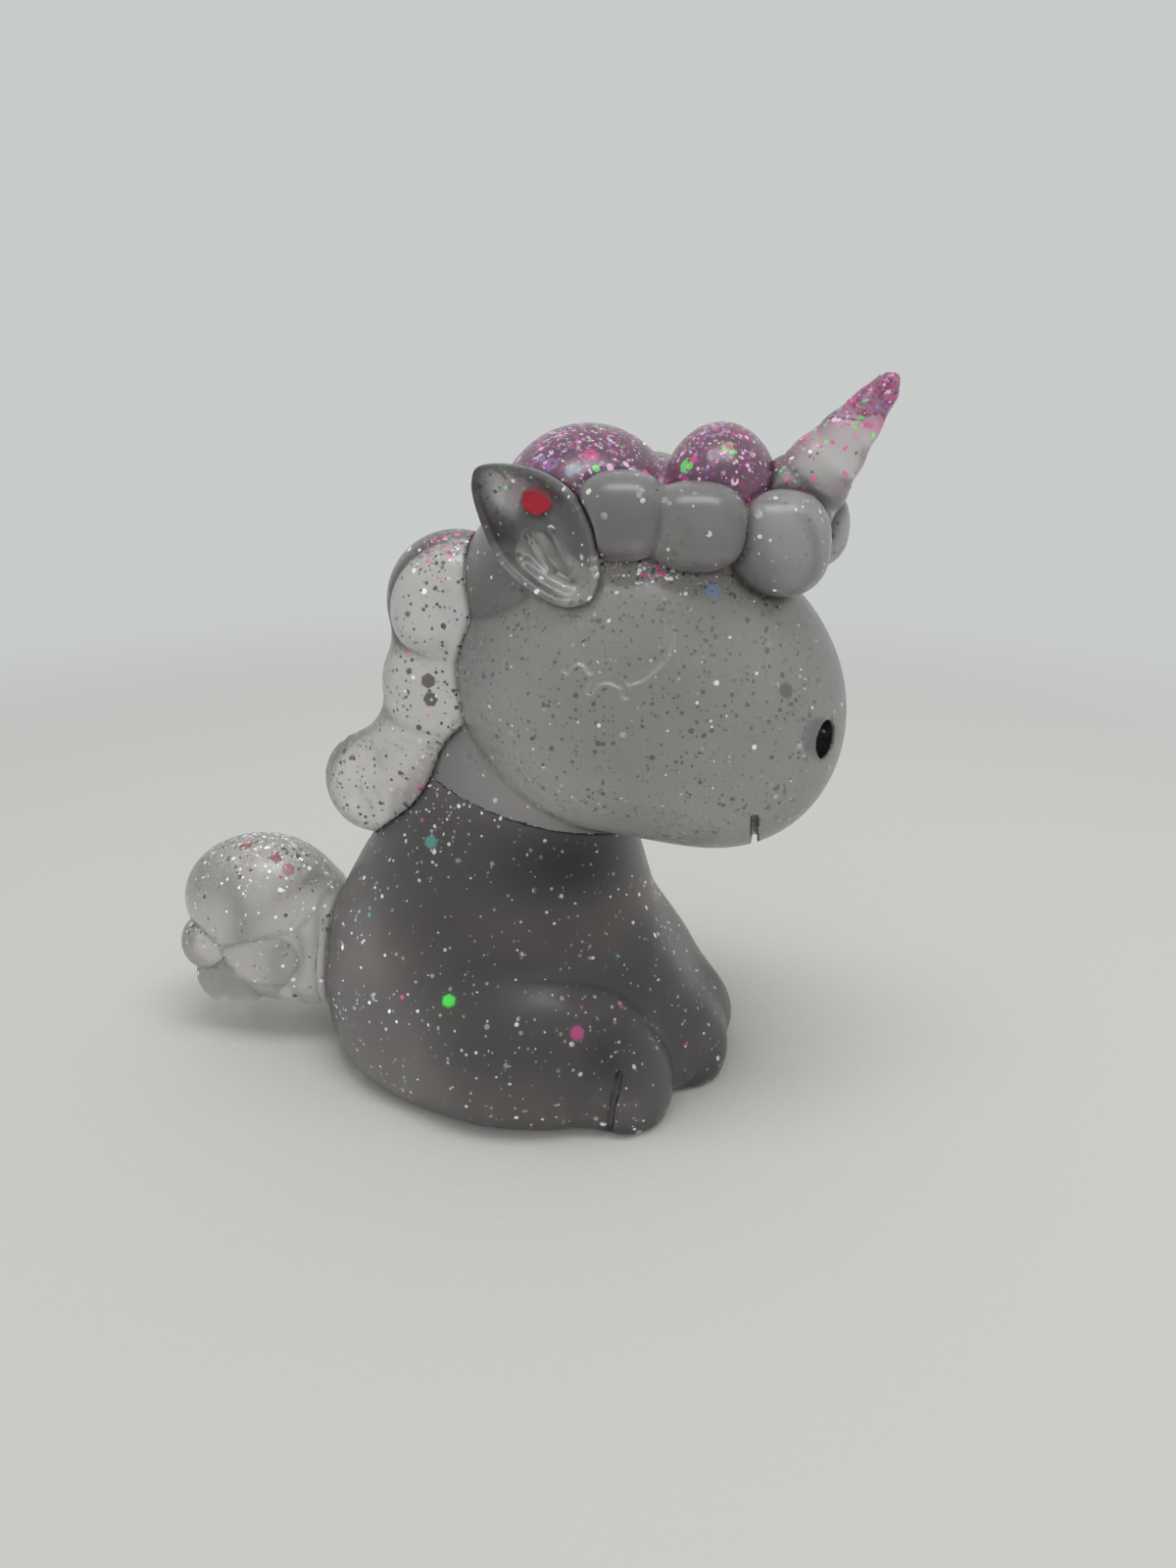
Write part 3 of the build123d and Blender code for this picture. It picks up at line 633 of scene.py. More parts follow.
ear_outline = np.array(
    [
        [16.7, 0.3], [15.4, -1.9], [12.9, -4.2], [10.4, -5.4], [7.7, -5.8], [4.6, -5.2],
        [2.2, -4.0], [0.2, -2.6], [-1.0, -0.6], [-0.4, 1.6], [1.6, 3.0], [5.0, 4.2],
        [8.4, 4.5], [11.0, 3.9], [14.2, 2.8], [16.0, 1.7],
    ]
)
ear_middle = np.array([8.0, -0.6])
ear_rim_height, ear_back_radius, ear_back_centre = 1.2, 12.5, 9.0
ear_rim_width, ear_cup_depth, ear_cup_shape, ear_space_height = 0.75, 3.1, 2.6, 4.0
ear_leaf_slope, ear_cup_slope, ear_rim_lip, ear_cup_lip = 0.9, 0.75, 0.35, 0.3
# Line of each fold in the cup, how far it rises and how wide it is.
ear_folds = (
    ([(8.4, 0.5, 0), (6.0, 1.0, 0), (4.2, 0.9, 0)], 0.9, 0.5),
    ([(6.0, 2.2, 0), (3.6, 1.6, 0), (1.2, 0.4, 0)], 1.1, 0.55),
    ([(7.4, -1.6, 0), (3.2, -0.9, 0)], 0.6, 0.5),
    ([(10.6, -2.4, 0), (10.9, -2.6, 0)], -1.3, 1.25),
)
# Line of each streak of painted highlight or painted shade in the cup, its width and the change.
ear_painted_light_and_shade = (
    ([(16.4, 0.9, 0), (14.0, 2.4, 0), (10.2, 3.2, 0)], 1.4, -0.75),
    ([(16.2, -0.8, 0), (13.2, -3.2, 0), (9.0, -4.4, 0)], 0.6, -0.40),
    ([(10.2, 1.6, 0), (8.8, 2.0, 0)], 1.5, -0.60),
    ([(8.0, 3.3, 0), (4.4, 2.9, 0), (1.2, 1.8, 0)], 0.5, -0.50),
    ([(3.6, 0.2, 0), (1.6, -0.4, 0)], 0.5, -0.60),
    ([(12.9, 0.0, 0), (12.3, -0.2, 0)], 1.3, 0.45),
    ([(5.4, 1.9, 0), (1.8, 0.6, 0)], 0.35, 0.50),
    ([(7.4, 0.8, 0), (4.8, 1.0, 0)], 0.3, 0.40),
)

ear_length = np.linalg.norm(ear_tip - ear_root)
ear_along = (ear_tip - ear_root) / ear_length
ear_out = ear_facing - (ear_facing @ ear_along) * ear_along
ear_out /= np.linalg.norm(ear_out)
ear_across = np.cross(ear_out, ear_along)


def outline_radius(points, centre):
    """Radius of a smooth closed outline at every angle about its middle."""
    off = smooth_line(points, closed=True) - centre
    angle = np.arctan2(off[:, 1], off[:, 0])
    order = np.argsort(angle)
    return angle[order], np.linalg.norm(off, axis=-1)[order]


ear_angles, ear_radii = outline_radius(ear_outline, ear_middle)


def in_ear_axes(p):
    """Length along the right ear, width across it and height out of it."""
    off = p - ear_root
    return off @ ear_along, off @ ear_across, off @ ear_out


def ear_leaf(s, w, h):
    """How far out, the outline there, the leaf, and the leaf with its domed back."""
    along, across = s - ear_middle[0], w - ear_middle[1]
    reach = np.hypot(along, across)
    edge = np.interp(np.arctan2(across, along), ear_angles, ear_radii, period=2 * np.pi)
    leaf = (reach - edge) * ear_leaf_slope
    back = np.sqrt(along**2 + w**2 + (h - ear_back_centre) ** 2) - ear_back_radius
    return reach, edge, leaf, np.maximum(leaf, back)


def right_ear(p):
    """A cupped leaf: domed behind, with a thin rim and soft folds in the cup.

    Further off, the distance to a ball round the ear will do and saves time.
    """
    ball_along, ball_out, ball_radius, ball_margin, least_away = 8, -1, 10.5, 1.5, 0.5
    s, w, h = in_ear_axes(p)
    far = np.sqrt((s - ball_along) ** 2 + w**2 + (h - ball_out) ** 2) - ball_radius
    depth = np.maximum(far, least_away)
    near = far < ball_margin
    if not near.any():
        return depth
    s, w, h = s[near], w[near], h[near]
    reach, edge, leaf, domed = ear_leaf(s, w, h)
    solid = carve(domed, ear_rim_height - h, ear_rim_lip)
    inner = np.clip(reach / (edge - ear_rim_width), 0, 1)
    floor = ear_rim_height - ear_cup_depth * (1 - inner**ear_cup_shape)
    flat = np.stack([s, w, np.zeros_like(s)], -1)
    for line, rise, width in ear_folds:
        floor = floor + rise * ridge(away_from_line(flat, line), width) * (1 - inner**2)
    cup = np.maximum(leaf + ear_rim_width * ear_leaf_slope, (floor - h) * ear_cup_slope)
    depth[near] = carve(solid, cup, ear_cup_lip)
    return depth


def ear_space(p):
    """The ear with its cup filled up, which the fringe keeps clear of."""
    s, w, h = in_ear_axes(np.where(p[..., 1:2] > 0, mirror(p), p))
    return np.maximum(ear_leaf(s, w, h)[3], h - ear_space_height)


def mouth(p, form):
    slot = np.maximum(np.abs(p[..., 0] - mouth_forward) - mouth_half_width, p[..., 2] - mouth_top)
    return np.maximum(slot, -form - mouth_depth)


def face(p):
    """What the moulded face takes off the right side of the head."""
    taken = np.zeros(p.shape[:-1])
    near = np.linalg.norm(p - eye_middle, axis=-1) < eye_reach
    if near.any():
        for line in face_lines:
            taken[near] += groove(p[near], line, eye_line_depth, eye_line_width)
    return taken


def skull_form(p):
    return melt(egg(p, *skull_egg), egg(p, *muzzle_egg), muzzle_fillet)


def plain_head(p):
    return melt(skull_form(p), egg(p, *poll_egg), poll_fillet)


def head_form(p):
    head = plain_head(p) + face(p) + face(mirror(p))
    head = carve(head, paired(p, nostril_egg), nostril_lip)
    head = carve(head, mouth(p, head), mouth_lip)
    return melt(head, both_sides(right_ear)(p), ear_fillet)


def light_form(p):
    return melt(head_form(p), bell(p), neck_fillet)


def light_pour(p):
    return np.maximum(light_form(p), seam_gap - above_pour(p))


light_tint = (0.42, 0.41, 0.37)
light_stain = (0.95, 0.94, 0.92)
light_smoke = resin(
    "light_smoke_resin", light_tint, density=30.0, satin=0.33, stain=light_stain, clouds=0.28, milk=0.22
)


def head_lobes(p):
    return [skull_form(p), egg(p, *poll_egg), both_sides(right_ear)(p), bell(p)]


head_tone, ear_tone = 0.75, 0.80
lid_glow, lid_glow_away, lid_glow_width = 0.34, 0.4, 0.14
lid_shade, lid_shade_width = 0.25, 0.2
dark_pour_shade, dark_pour_depth = 0.16, 1.2
mouth_shade, mouth_shade_reach, mouth_shade_above, mouth_shade_depth = 0.7, (0.35, 0.6), 0.3, 0.1
nostril_shade, nostril_shade_reach, nostril_shade_depth = 0.95, (0.02, 0.2), 0.25
ear_shade_reach, ear_shade_from_head = (0.1, 0.5), (0.0, 0.8)
# Swirls that change the head's tone; those marked below are painted light.
head_swirls_and_painted_light = (
    ((17.0, -17.0, 53.0), (6.0, 6.0, 5.0), -0.08),
    ((12.0, -18.0, 46.0), (5.0, 5.0, 6.0), -0.12),
    # Painted light low on the head and neck, from the bright floor below.
    ((1.0, -13.0, 38.0), (9.0, 8.0, 6.0), 0.85),
    ((15.0, -12.0, 36.0), (14.0, 10.0, 5.0), 0.35),
    # Painted shade on the brow under the fringe.
    ((22.0, -12.0, 64.0), (12.0, 7.0, 3.5), -0.30),
    # Small changes of tone.
    ((30.0, -10.0, 42.0), (6.0, 8.0, 5.0), 0.06),
    ((36.0, -6.0, 57.0), (5.0, 8.0, 7.0), -0.16),
    # Painted shade at the back of the head, behind the ear.
    ((-3.0, -12.0, 60.0), (4.0, 6.0, 7.0), -0.40),
)


def ear_tone_and_painted_light(p):
    """Painted shade along the rim and in the cup's hollows, and painted highlights on its folds."""
    s, w, h = in_ear_axes(p)
    flat = np.stack([s, w, np.zeros_like(h)], -1)
    tone = np.full(p.shape[:-1], ear_tone)
    for line, width, change in ear_painted_light_and_shade:
        tone *= 1 + change * ridge(away_from_line(flat, line), width)
    return tone


def head_tone_and_painted_light(p):
    """Painted shade in the mouth and eye lines and painted highlights beside the lines; dark in the
    nostrils and darker at the dark pour.
    """
    tone = swirled(p, head_tone, head_swirls_and_painted_light)
    for side in (p, mirror(p)):
        for line in face_lines:
            away = away_from_line(side, line)
            # Painted highlights beside the eye lines and painted shade in them.
            glow = lid_glow * ridge(away - lid_glow_away, lid_glow_width)
            tone *= 1 + glow - lid_shade * ridge(away, lid_shade_width)
    tone *= 1 - dark_pour_shade * np.exp(-np.maximum(above_pour(p), 0) / dark_pour_depth)
    inside = -plain_head(p)
    in_mouth = 1 - soft_step(np.abs(p[..., 0] - mouth_forward), *mouth_shade_reach)
    below_top = p[..., 2] < mouth_top + mouth_shade_above
    # Painted shade inside the mouth slot.
    tone *= 1 - mouth_shade * in_mouth * below_top * (inside > mouth_shade_depth)
    in_pit = 1 - soft_step(paired(p, nostril_egg), *nostril_shade_reach)
    tone *= 1 - nostril_shade * in_pit * (inside > nostril_shade_depth)
    in_ear = 1 - soft_step(both_sides(right_ear)(p), *ear_shade_reach)
    in_ear *= soft_step(-inside, *ear_shade_from_head)
    ears = np.where(p[..., 1] < 0, ear_tone_and_painted_light(p), ear_tone_and_painted_light(mirror(p)))
    return tone * (1 - in_ear) + ears * in_ear


# Body and head are both cast here, since each smoke pour ends where the other begins.
# Lines along the small moulded details say where their skins need the finest faces.
mouth_turns, mouth_inset = np.radians(np.arange(-66, 67, 11)), 0.96
nostril_turns = np.linspace(0, 2 * np.pi, 13)
nostril_middle, nostril_reach = np.array([35.0, -9.4, 47.1]), np.array([1.0, 1.9, 2.2])
ear_floor_depth, out_of_reach = 1.0, 9


def mirrored_lines(lines):
    return [[(x, -y, z) for x, y, z in line] for line in lines]


def on_ear(s, w, h):
    """The place so far along the right ear, across it and out of it."""
    return tuple(ear_root + s * ear_along + w * ear_across + h * ear_out)


muzzle_middle, muzzle_radii = muzzle_egg
mouth_line = [
    (
        mouth_forward,
        muzzle_radii[1] * mouth_inset * np.sin(turn),
        muzzle_middle[2] - muzzle_radii[2] * mouth_inset * np.cos(turn),
    )
    for turn in mouth_turns
]
ear_spots = [[on_ear(s, w, ear_rim_height) for s, w in (*ear_outline, ear_outline[0])]]
for line, rise, width in ear_folds:
    ear_spots.append([on_ear(s, w, h - ear_floor_depth) for s, w, h in line])
right_spots = [*face_lines, *ear_spots]
head_spots = [*right_spots, *mirrored_lines(right_spots), mouth_line]
nostril_rim = [
    tuple(nostril_middle + nostril_reach * (np.cos(turn), np.cos(turn), np.sin(turn)))
    for turn in nostril_turns
]
head_spots += [nostril_rim, *mirrored_lines([nostril_rim])]
both = ("right", "left")
leg_parts = ("haunch", "hind_hoof", "foreleg", "fore_hoof")
body_nodes = ["torso"] + [f"{name}_{side}" for name in leg_parts for side in both]
hoof_lines = [hoof_groove_line, *mirrored_lines([hoof_groove_line])]


def away_from_lines(p, lines):
    return np.min([away_from_line(p, line) for line in lines], axis=0)


def away_from_seam(p, whole):
    """Distance to the ring where the two smoke pours meet on the skin."""
    return np.hypot(above_pour(p), whole(p))


def body_details(p):
    """Distance to the hoof grooves, the seam or the haunch's fold, which is soft behind."""
    fold = np.hypot(trunk_form(p), both_sides(right_hind_leg)(p))
    fold += out_of_reach * (p[..., 0] < haunch_fold_from[0])
    return np.min([away_from_lines(p, hoof_lines), fold, away_from_seam(p, dark_form)], axis=0)


def head_details(p):
    return np.minimum(away_from_lines(p, head_spots), away_from_seam(p, light_form))


cast(
    "body", body_pour, dark_form, low=(-29, -25, -1), high=(27, 25, 42), step=0.5,
    finish=dark_smoke, nodes=body_nodes,
    fine=body_details, fine_reach=1.4, halvings=2, tone_and_painted_light=body_tone_and_painted_light,
)
cast(
    "head", light_pour, light_form, low=(-14, -24, 27), high=(41, 24, 78), step=0.5,
    finish=light_smoke, nodes=["head", "poll", "ear_right", "ear_left"],
    fine=head_details, fine_reach=1.3, halvings=2, lobes=head_lobes, tone_and_painted_light=head_tone_and_painted_light,
)

# Clear pour: the mane down the nape, the fringe over the brow, the horn and the tail.
# Each lock is a rounded form of the mould with a crease between it and the next.
nape_eggs = (
    ((-8.0, 0, 58.4), (8.8, 6.4, 8.7)),
    ((-9.4, 0, 48.8), (8.4, 8.0, 8.0)),
    ((-12.4, 0, 38.0), (8.4, 8.0, 9.6)),
)
nape_ball = ((-7.3, -2.6, 58.0), (8.3, 5.6, 8.1))
nape_curl_egg = ((-20.0, 0, 35.4), (6.4, 4.9, 6.4))
nape_curl_ball = ((-19.2, -2.1, 35.2), (5.9, 4.0, 5.9))
nape_fillet, curl_fillet, curl_root_fillet, nape_crease = 2.6, 1.0, 2.4, (0.2, 0.3)
nape_tone, rolled_shade, rolled_width, rolled_from = 1.12, 0.6, 0.5, (-13.0, -8.0)
curled_shade, curled_width, curled_from = 0.5, 0.35, (-24.0, -20.0)
crown_eggs = (((7.4, 0, 68.4), (10.4, 12.5, 10.7)), ((22.2, 0, 71.0), (6.6, 9.0, 8.4)))
side_locks = (
    ((12.9, -10.7, 70.6), (4.9, 5.0, 4.6), (0, 0, 0), 2.5),
    ((20.5, -9.1, 69.5), (5.4, 5.5, 4.6), (0, 0, 0), 2.5),
)
front_locks = (
    ((29.2, -5.4, 67.4), (5.4, 5.5, 5.6), (0, 0, 0), 2.4),
    ((31.6, 3.4, 68.0), (5.1, 4.9, 4.8), (0, 0, 0), 2.4),
)
hump_fillet, side_lock_fillet, fringe_crease, ear_gap = 2.0, 0.9, (0.3, 0.35), 0.08
fringe_tone, fringe_tone_rise, fringe_tone_from = 0.60, 0.16, (24.5, 26.5)
faint_shade, faint_width, faint_depth = 0.4, 0.3, 0.6
deep_shade, deep_width, ledge_shade, ledge_width = 0.75, 0.6, 0.3, 0.3
pink_level, pink_wave = 71.0, 0.5
pink_horn_level, pink_horn_wave = 80.2, 0.45
horn_base, horn_end = np.array([30.3, 0, 71.0]), np.array([40.2, 0, 84.4])
horn_base_radius, horn_end_radius, horn_turns, horn_wave = 5.0, 1.15, 4.5, 0.12
horn_wave_taper, horn_slope, horn_root_share, horn_root_depth = 0.5, 0.93, -0.3, 2
horn_upper_side, horn_upper_reach, horn_upper_above = np.array([-0.8, 0, 0.6]), (0.6, 2.6), (72.0, 80.0)
horn_tinge, horn_tinge_depth, horn_upper_tinge = np.array([0.86, 0.42, 0.66]), 1.3, 0.5
tip_thinning, tip_thin_depth = np.array([0.0, 0.35, 0.10]), 0.8
tail_eggs = (
    ((-36.8, 0, 17.4), (10.7, 8.6, 8.6)),
    ((-29.0, 0, 11.5), (7.5, 7.6, 8.6)),
    ((-33.5, 0, 8.6), (7.6, 7.4, 5.8)),
)
tail_side_eggs = (
    ((-34.0, -4.0, 12.4), (7.6, 4.8, 5.6)),
    ((-43.4, -3.8, 12.4), (3.6, 4.2, 4.0)),
    ((-40.6, -3.0, 7.2), (5.4, 4.5, 4.6)),
)
tail_collar_width, tail_collar_rise = 1.1, 0.45
tail_root_fillet, tail_under_fillet, tail_side_fillet = 3.0, 2.0, 1.5
tail_side_crease, tail_curl_crease = (0.15, 0.3), (0.2, 0.3)
tail_floor, tail_floor_lip = 0.05, 0.2
hollow_shade, hollow_width = 0.38, 0.3
tail_swirls = (
    ((-44.0, -2.0, 21.0), (3.0, 5.0, 4.0), -0.25),
    ((-38.0, -6.0, 6.0), (4.0, 4.0, 2.5), -0.28),
    ((-29.0, -7.0, 10.0), (3.0, 4.0, 5.0), -0.20),
)
clear_tint, clear_stain = (0.42, 0.41, 0.39), (0.93, 0.92, 0.90)


def crease(lobes, depth, width):
    """Lobes side by side, with a sharp crease pressed in between each and the next."""
    form = lobes[0]
    for lobe in lobes[1:]:
        form = np.minimum(form, lobe) + depth * ridge(form - lobe, width)
    return form


def nape_lobes(p):
    lobes = [egg(p, *piece) for piece in nape_eggs]
    return [*lobes, paired(p, nape_ball), egg(p, *nape_curl_egg), paired(p, nape_curl_ball)]


def nape_form(p):
    upper, middle, lower, ball, curl, curl_ball = nape_lobes(p)
    strand = melt(melt(upper, middle, nape_fillet), lower, nape_fillet)
    whole_curl = melt(curl, curl_ball, curl_fillet)
    return crease([melt(strand, whole_curl, curl_root_fillet), ball], *nape_crease)


def crown_humps(p):
    rear, front = (egg(p, *piece) for piece in crown_eggs)
    return melt(rear, front, hump_fillet)


def crown_lobes(p):
    beside = [paired(p, piece) for piece in side_locks]
    return [crown_humps(p), *beside, *(egg(p, *piece) for piece in front_locks)]


def crown_form(p):
    humps, rear_side, front_side, *front = crown_lobes(p)
    fringe = crease([humps, melt(rear_side, front_side, side_lock_fillet), *front], *fringe_crease)
    return np.maximum(fringe, ear_gap - ear_space(p))


def horn_form(p):
    """A blunt cone whose side waves along a spiral."""
    off = p - horn_base
    length = np.linalg.norm(horn_end - horn_base)
    along = (horn_end - horn_base) / length
    height = off @ along
    side = off - height[..., None] * along
    reach = np.linalg.norm(side, axis=-1)
    share = np.clip(height / length, horn_root_share, 1)
    turn = np.arctan2(side[..., 1], side @ np.cross((0, 1.0, 0), along))
    wave = horn_wave * (1 - horn_wave_taper * share) * np.cos(2 * np.pi * horn_turns * share + turn)
    radius = horn_base_radius + (horn_end_radius - horn_base_radius) * share + wave
    cone = (reach - radius) * horn_slope
    end_cap = np.linalg.norm(p - (horn_end - along * horn_end_radius), axis=-1) - horn_end_radius
    cone = np.where(height > length - horn_end_radius, end_cap, cone)
    return np.maximum(cone, -height - horn_root_depth)


def tail_lobes(p):
    collar = np.maximum(egg(p, *tail_eggs[1]) - tail_collar_rise, body_form(p) - tail_collar_width)
    curls = [paired(p, piece) for piece in tail_side_eggs]
    return [*(egg(p, *piece) for piece in tail_eggs), *curls, collar]


def tail_form(p):
    top, root, under, side, curl, low_curl, collar = tail_lobes(p)
    strand = melt(melt(top, root, tail_root_fillet), under, tail_under_fillet)
    strand = crease([strand, melt(side, under, tail_side_fillet)], *tail_side_crease)
    tail = crease([strand, curl, low_curl, collar], *tail_curl_crease)
    return carve(tail, p[..., 2] - tail_floor, tail_floor_lip)


def under_the_mane(p):
    return np.minimum(light_form(p), body_form(p))


def nape_tone_and_painted_shade(p):
    """Painted shade where the round upper lock rolls in, and at the back of the curl."""
    upper, middle, lower, ball, curl, curl_ball = nape_lobes(p)
    rolled = ridge(ball - melt(upper, middle, nape_fillet), rolled_width)
    rolled *= 1 - soft_step(p[..., 0], *rolled_from)
    curled = ridge(curl - curl_ball, curled_width) * (1 - soft_step(p[..., 0], *curled_from))
    return nape_tone * (1 - rolled_shade * rolled) * (1 - curled_shade * curled)


def tail_tone_and_painted_shade(p):
    """Painted shade in the hollows of the curls, with a few darker swirls; light elsewhere."""
    lobes = np.sort(tail_lobes(p), axis=0)
    tone = 1 - hollow_shade * ridge(lobes[1] - lobes[0], hollow_width)
    for centre, radii, change in tail_swirls:
        tone *= 1 + change * swirl(p, centre, radii)
    return tone


def pink_part(p):
    """Inside the crown's two humps, above the level to which the pink pour came."""
    level = pink_level + pink_wave * np.sin(0.9 * p[..., 0]) * np.cos(0.7 * p[..., 1])
    return np.maximum(crown_humps(p), level - p[..., 2])


def fringe_tone_and_painted_shade(p):
    """Painted shade where the front lock meets its neighbours and where the humps meet the side locks,
    faint between the side locks.
    """
    humps, rear_side, front_side, *front = crown_lobes(p)
    beside = np.minimum(rear_side, front_side)
    faint = ridge(rear_side - front_side, faint_width) * (beside < faint_depth)
    deep = ridge(np.minimum(*front) - np.minimum(humps, beside), deep_width)
    ledge = ridge(humps - beside, ledge_width)
    tone = fringe_tone + fringe_tone_rise * soft_step(p[..., 0], *fringe_tone_from)
    return tone * (1 - faint_shade * faint) * (1 - deep_shade * deep) * (1 - ledge_shade * ledge)


def nape_pour(p):
    return np.maximum(nape_form(p), seam_gap - under_the_mane(p))


def crown_root_cut(p):
    return np.maximum(crown_form(p), seam_gap - light_form(p))


def fringe_pour(p):
    return np.maximum(crown_root_cut(p), seam_gap - pink_part(p))


clear = resin(
    "clear_resin", clear_tint, density=26.0, satin=0.30, stain=clear_stain, clouds=0.12, milk=0.12
)
smoky_clear = resin(
    "smoky_clear_resin", clear_tint, density=45.0, satin=0.33, stain=clear_stain, clouds=0.20, milk=0.30
)
cast(
    "nape_mane", nape_pour, nape_form, low=(-28, -10, 26), high=(4, 10, 69), step=0.35,
    finish=clear, tone_and_painted_light=nape_tone_and_painted_shade,
    nodes=["nape_lock_upper", "nape_lock_middle", "nape_lock_lower", "nape_curl"],
)
cast(
    "fringe", fringe_pour, crown_form, low=(-5, -18, 58), high=(38, 18, 77), step=0.35,
    finish=smoky_clear, tone_and_painted_light=fringe_tone_and_painted_shade,
    nodes=[f"brow_lock_{row}_{side}" for row in ("rear", "middle", "front") for side in both],
)


def horn_root_cut(p):
    return np.maximum(horn_form(p), seam_gap - np.minimum(crown_form(p), light_form(p)))


def above_horn_seam(p):
    """Height over the wavy end of the horn's pink pour."""
    return p[..., 2] - pink_horn_level - pink_horn_wave * np.sin(1.1 * p[..., 0] + 1.7 * p[..., 1])


def horn_pigment(p):
    """The pink pour has tinted the clear one below it, and along the horn's upper edge."""
    off = p - horn_base
    upper = soft_step(off @ horn_upper_side, *horn_upper_reach) * soft_step(p[..., 2], *horn_upper_above)
    tinted = np.exp(above_horn_seam(p) / horn_tinge_depth) + horn_upper_tinge * upper
    return 1 - np.clip(tinted, 0, 1)[..., None] * (1 - horn_tinge)


def horn_tip_pigment(p):
    """The pink pour is thinner just over the clear one."""
    thin = np.exp(-np.maximum(above_horn_seam(p), 0) / tip_thin_depth)[..., None]
    return 1 + thin * tip_thinning


def clear_horn_pour(p):
    return np.maximum(horn_root_cut(p), above_horn_seam(p))


def tail_pour(p):
    return np.maximum(tail_form(p), seam_gap - body_form(p))


cast(
    "horn_clear", clear_horn_pour, horn_form, low=(24, -6, 64), high=(43, 6, 82), step=0.25,
    finish=clear, nodes=["horn"], tone_and_painted_light=horn_pigment,
)
tail_curls = ("tail_lock_side", "tail_curl", "tail_low_curl")
cast(
    "tail", tail_pour, tail_form, low=(-49, -10, -0.5), high=(-18, 10, 28), step=0.35,
    finish=clear, tone_and_painted_light=tail_tone_and_painted_shade,
    nodes=["tail_root", "tail_lock_upper", "tail_lock_under"]
    + [f"{name}_{side}" for name in tail_curls for side in both],
)

# Pink pour: a little pink resin, thick with glitter, went into the mould first and set in
# its deepest places, which are now the tops of the crown and the tip of the horn.
pink_tint, pink_stain = (0.58, 0.16, 0.42), (0.80, 0.42, 0.66)
pink = resin("pink_resin", pink_tint, density=170.0, satin=0.28, stain=pink_stain, clouds=0.45, milk=0.16)


def crown_pour(p):
    return np.maximum(crown_root_cut(p), pink_part(p))


def horn_tip_pour(p):
    return np.maximum(horn_root_cut(p), seam_gap - above_horn_seam(p))


cast(
    "crown_rolls", crown_pour, crown_form, low=(-5, -18, 69), high=(38, 18, 81), step=0.35,
    finish=pink, nodes=["crown_roll_rear", "crown_roll_front"],
)
cast(
    "horn_tip", horn_tip_pour, horn_form, low=(32, -5, 79), high=(43, 5, 86), step=0.2,
    finish=pink, nodes=["horn_tip"], tone_and_painted_light=horn_tip_pigment,
)

# Where the pours meet, they have grown together inside. On the outside the creases between them get
# painted shade, where little light gets in, widest in front as a painted shadow under the fringe.
crease_width, crease_shade = 0.42, 0.88
brow_shadow_widening, brow_shadow_from, brow_shadow_above = 1.3, (21.0, 27.0), (56.0, 60.0)
narrow_rim, wide_rim, rim_blend = 0.06, 0.25, 0.2
whole_forms = {pour[2] for pour in castings.values()}
smoke_forms = {dark_form, light_form}
for piece, form, whole, points, lobes, tone_and_painted_light in castings.values():
    around = {other: other(points) for other in whole_forms if other is not whole}
    buried = np.minimum(whole(points), np.min(list(around.values()), axis=0))
    rim = narrow_rim if whole in (*smoke_forms, horn_form) else wide_rim
    grown = np.clip((-buried - rim) / rim_blend, 0, 1)
    attribute = piece.data.attributes.new("grown_together", "FLOAT", "POINT")
    attribute.data.foreach_set("value", grown.astype(np.float32))
    neighbours = [away for other, away in around.items() if not {whole, other} <= smoke_forms]
    touching = np.min(neighbours, axis=0)
    if lobes:
        touching = np.minimum(touching, np.sort(lobes(points), axis=0)[1])
    tone = tone_and_painted_light(points)
    if tone.ndim == 1:
        tone = np.repeat(tone[:, None], 3, axis=1)
    # Painted shadow under the fringe's front: the creases' painted shade is wider there.
    in_front = soft_step(points[:, 0], *brow_shadow_from) * soft_step(points[:, 2], *brow_shadow_above)
    wide = crease_width * (1 + brow_shadow_widening * in_front)
    # Painted shade along the creases.
    tone = tone * (1 - crease_shade * ridge(np.maximum(touching, 0), wide))[:, None]
    # Stored with the pour's tone: the painted shade and painted highlights.
    colour = np.concatenate([tone, np.ones((len(tone), 1))], axis=1)
    attribute = piece.data.attributes.new("tone_and_painted_light", "FLOAT_COLOR", "POINT")
    attribute.data.foreach_set("color", colour.astype(np.float32).ravel())

# Glitter: hexagons cut from foil, most of them as fine as sand. They sank in each pour
# before it set, so they lie close under the surfaces that look up.
# Each foil has a colour, a roughness, a painted glow that stands in for glints, and the slot that it
# belongs to.
foils = {
    "silver": ((0.92, 0.93, 0.95), 0.25, 0.22, "flake_dark"),
    "white": ((0.95, 0.95, 0.97), 0.6, 0.75, "flake_dark"),
    "black": ((0.025, 0.022, 0.025), 0.5, 0.0, "flake_dark"),
    "red": ((0.50, 0.005, 0.03), 0.35, 0.14, "flake_red"),
    "green": ((0.03, 0.85, 0.05), 0.35, 1.2, "flake_green"),
    "pink": ((0.80, 0.04, 0.34), 0.35, 0.6, "flake_pink"),
    "turquoise": ((0.10, 0.66, 0.58), 0.35, 0.4, "flake_turquoise"),
    "blue": ((0.20, 0.42, 0.74), 0.35, 0.45, "flake_blue"),
    "violet": ((0.40, 0.05, 0.42), 0.35, 0.3, "flake_pink"),
}
maroon_foil = ((0.075, 0.010, 0.022), 0.45, 0.05)
speck_width, speck_thickness = 0.30, 0.03
speck_depth, speck_depth_spread, speck_cover = 0.16, 0.22, 0.08
speck_tilt, speck_jitter = 0.35, 0.05
facing_up, on_skin = 4, 0.1
speck_size_spread, speck_size_limits = 0.45, (0.5, 2.8)
everywhere = ((0.0, 0.0, 0.0), (1e4, 1e4, 1e4))
